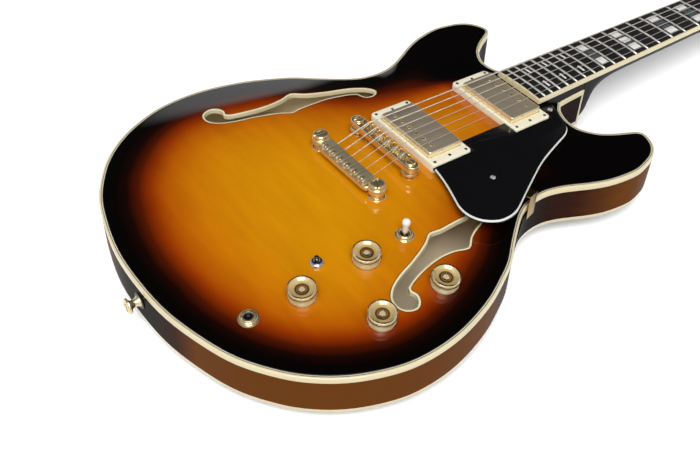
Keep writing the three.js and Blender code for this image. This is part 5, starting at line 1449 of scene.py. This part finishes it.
PAINT_STOPS = [
    (0, "fff6d6"), (0.2, "fbeec6"), (0.25, "6a3c0c"), (0.33, "7a4a12"), (0.4, "d2a050"),
    (0.46, "6a3c0c"), (0.56, "6a3c0c"), (0.62, "fbe4a8"), (0.9, "ffeebc"), (1, "fff4d2"),
]
MARK_COUNT = 11
MARK_ENDS = (8.9, 10.4)
MARK_SECTION = [(11.9, -0.3), (12.2, -0.3), (12.2, 0.3), (11.9, 0.3)]
clear_plastic = mottled("clear_plastic", [(0, "fdf6e4"), (1, "fffbf0")], 0.04, 90, more={
    "IOR": 1.49, "Transmission Weight": 1.0,
})
painted_gold = lined_plastic(
    "gold_paint", "radius", PAINT_STOPS, "dcd8d0", 70, 0.35, {"Metallic": 0.1}, stepped=False)


def top_square(x, y):
    """Turns and lifts a shape from the origin to stand square on the arched top."""
    slope_x = (top_height(x + 2, y) - top_height(x - 2, y))[0] / 4
    slope_y = (top_height(x, y + 2) - top_height(x, y - 2))[0] / 4
    square = Vector((-slope_x, -slope_y, 1)).normalized()
    turn = Vector((0, 0, 1)).rotation_difference(square).to_matrix().to_4x4()
    return moved(x, y, top_height(x, y)[0]) @ turn


for name, place in KNOB_PLACES.items():
    stand = top_square(*place)
    knob = new_piece(name + "_cap", turned(CAP_PROFILE, 48), clear_plastic, at=stand, crease=55)
    cup = new_piece(name + "_cup", turned(CUP_PROFILE, 48), painted_gold, at=stand)
    points = drawn_points(cup, stand)
    with_values(cup, "radius", np.hypot(points[:, 0], points[:, 1]) / 10)
    marks = bmesh.new()
    for k in range(MARK_COUNT):
        line = swept([[(x, y, z) for x, y in MARK_SECTION] for z in MARK_ENDS])
        gather(marks, line, Matrix.Rotation(k * 2 * pi / (MARK_COUNT + 1), 4, "Z"))
    knob_marks = new_piece(name + "_marks", marks, dark_steel, at=stand)
    for part in (knob, cup, knob_marks):
        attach(part, name + "_knob")
        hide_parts(name + "_knob")

# Controls under the top: four potentiometers in steel cans, seen only through the f-holes.
# They keep the solid model's shape.
can_steel = metal("can_steel", "7d7a74", "9a968e", 0.4)
for name in KNOB_PLACES:
    keep_shape(name + "_pot", can_steel)

# Pickup selector: a lever switch on a gold ring nut, with a slim ivory tip.
# Its box hangs under the top and the nut clamps it through the plate.
SELECTOR_PLACE = (90.3, -51.6)
SELECTOR_PIVOT = -2.0
SELECTOR_BOX = (17, 22, 16)
SELECTOR_BOX_Z = -15.5
SELECTOR_NUT = [
    (4.3, -5.5), (5.8, -5.5), (5.8, 0.1), (8.3, 0.1), (8.4, 0.6), (8.1, 0.9), (6.9, 1.0), (7.0, 2.6),
    (6.3, 3.7), (5.4, 3.9), (4.6, 3.4), (4.3, 2.2), (4.3, -5.5),
]
SELECTOR_THROAT = [(0, -7.6), (4.25, -7.6), (4.25, 0.4), (2.8, 1.6), (2.2, 1.7), (2.2, 0.4), (0, 0.4)]
SELECTOR_ARM = [(0, -3), (2.6, -2), (3.4, 0), (2.6, 2), (1.5, 3.4), (1.5, 9), (0, 9)]
SELECTOR_TIP = [
    (0, 6.4), (2.2, 6.5), (2.6, 7.2), (2.6, 11), (2.8, 14.4), (3.5, 16.4), (3.6, 18.2), (2.9, 19.9),
    (1.6, 20.6), (0, 20.8),
]
# Black plastic for the switch boxes and the small cap, and painted shade in the jack's bore and the switch
# throats.
black_and_painted_shade = shell("black_bore_and_painted_shade", [(0.3, "0a0a0a"), (0.7, "141414")], 90)


def switch_body(size, middle, throat, steps):
    """A switch's box under the top, with the throat that its lever moves in painted black as shade."""
    box = bmesh.new()
    bmesh.ops.create_cube(box, size=1, matrix=moved(0, 0, middle) @ Matrix.Diagonal((*size, 1)))
    gather(box, turned(throat, steps))
    return box


stand = top_square(*SELECTOR_PLACE)
switch_nut = new_piece("selector_nut", turned(SELECTOR_NUT), gold, at=stand, crease=50)
box_shape = switch_body(SELECTOR_BOX, SELECTOR_BOX_Z, SELECTOR_THROAT, 28)
switch_box = new_piece("selector_box", box_shape, black_and_painted_shade, at=stand)
for part in (switch_nut, switch_box):
    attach(part, "guitar")
    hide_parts("selector_switch")
pivot = stand @ moved(0, 0, SELECTOR_PIVOT)
arm = new_piece("selector_arm", turned(SELECTOR_ARM, 24), gold, at=pivot)
white_plastic = shell("white_plastic", [(0.3, "efece0"), (0.7, "f6f3ea")], 60)
tip = new_piece("selector_tip", turned(SELECTOR_TIP, 28), white_plastic, at=pivot, crease=60)
for part, finish in ((arm, "gold_metal"), (tip, "switch_tip")):
    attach(part, "selector_lever")
    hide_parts("selector_lever")

# Small lever switch: a chromed toggle in a domed nut, with a black cap on its end.
# Its box hangs under the top and the nut clamps it through the plate.
MINI_PLACE = (73.1, -128.7)
MINI_PIVOT = -1.0
MINI_BOX = (8, 13, 10)
MINI_BOX_Z = -12.5
MINI_NUT = [
    (2.4, -6), (3.3, -6), (3.3, 0.1), (6.0, 0.1), (6.2, 0.8), (5.9, 2.0), (5.2, 3.1), (4.2, 3.7),
    (3.3, 3.7), (2.5, -1), (2.4, -6),
]
MINI_THROAT = [(0, 0.2), (2.55, 0.2), (2.6, 0.5), (0, 0.5)]
MINI_BAT = [(0, -1.6), (1.5, -1), (1.8, 0), (1.5, 1), (1.3, 2), (1.4, 5), (1.7, 8.2), (0, 8.2)]
MINI_CAP = [(0, 8.0), (1.9, 8.0), (2.1, 8.6), (2.0, 9.6), (1.3, 10.2), (0, 10.3)]
chrome = metal("chrome", "dcdcde", "f0f0f2", 0.12)
stand = top_square(*MINI_PLACE)
mini_nut = new_piece("mini_nut", turned(MINI_NUT, 36), chrome, at=stand, crease=50)
box_shape = switch_body(MINI_BOX, MINI_BOX_Z, MINI_THROAT, 24)
mini_box = new_piece("mini_box", box_shape, black_and_painted_shade, at=stand)
for part in (mini_nut, mini_box):
    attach(part, "guitar")
    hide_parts("mini_switch")
pivot = stand @ moved(0, 0, MINI_PIVOT)
bat = new_piece("mini_bat", turned(MINI_BAT, 24), chrome, at=pivot, crease=60)
cap = new_piece("mini_cap", turned(MINI_CAP, 24), black_and_painted_shade, at=pivot, crease=60)
for part in (bat, cap):
    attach(part, "mini_lever")
    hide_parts("mini_lever")

# Output jack: a gold-plated nut on a round washer, with the socket's bore in the middle in painted shade.
# The nut clamps the jack's barrel, which hangs under the top, through a hole in the plate.
JACK_PLACE = (85.5, -202.2)
JACK_NUT = [
    (3.7, 0.1), (3.7, 3.4), (4.1, 3.9), (5.2, 3.8), (5.8, 3.1), (6.6, 3.0), (7.3, 2.5), (7.5, 1.9),
    (7.4, 1.1), (8.6, 0.9), (8.8, 0.5), (8.6, 0.05), (3.7, 0.05), (3.7, 0.1),
]
JACK_BARREL = [
    (0, -21.5), (4.7, -21.5), (4.7, -11.5), (8.4, -11.3), (8.4, -7.8), (4.7, -7.6), (4.7, -0.2),
    (3.65, -0.2), (3.65, 2.9), (3.3, 2.9), (3.25, 0.5), (0, 0.5),
]
stand = top_square(*JACK_PLACE)
jack_nut = new_piece("jack_nut", turned(JACK_NUT, 44), gold, at=stand, crease=40)
jack_barrel = new_piece("jack_barrel", turned(JACK_BARREL, 28), black_and_painted_shade, at=stand)
for part in (jack_nut, jack_barrel):
    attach(part, "guitar")
    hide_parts("output_jack")

# Strap buttons: turned, gold-plated buttons on washers of black felt, at the tail and the heel.
# Each is held by a domed wood screw with a crossed slot.
TAIL_BUTTON = (0, -TAIL_TO_BRIDGE, -20)
HEEL_BUTTON = (0, 239.6, -41.5)
BUTTON_SCREW_RISE = 11.7
BUTTON_PROFILE = [
    (0, 0.9), (4.8, 0.9), (4.6, 1.8), (3.6, 3.4), (3.3, 5.5), (3.5, 7.6), (5.2, 9.2), (7.0, 9.8),
    (7.4, 10.4), (7.4, 11.4), (6.8, 12.1), (4.0, 12.4), (3.6, 11.6), (0, 11.6),
]
FELT_PROFILE = [(0, 0.05), (7.2, 0.05), (7.3, 0.5), (7.2, 0.95), (0, 0.95)]
felt = mottled("black_felt", [(0.3, "121110"), (0.7, "242220")], 0.95, 500, 5.0, more={
    "Sheen Weight": 0.3,
})
for name, place, turn in (("tail", TAIL_BUTTON, pi / 2), ("heel", HEEL_BUTTON, pi)):
    stand = moved(*place) @ Matrix.Rotation(turn, 4, "X")
    button_shape = turned(BUTTON_PROFILE)
    gather(button_shape, screw_head(3.2, 0.9), moved(0, 0, BUTTON_SCREW_RISE))
    button = new_piece(name + "_button", button_shape, gold, at=stand, crease=50)
    washer = new_piece(name + "_felt", turned(FELT_PROFILE, 32), felt, at=stand)
    for part in (button, washer):
        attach(part, "guitar")
        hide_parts(name + "_strap_button")
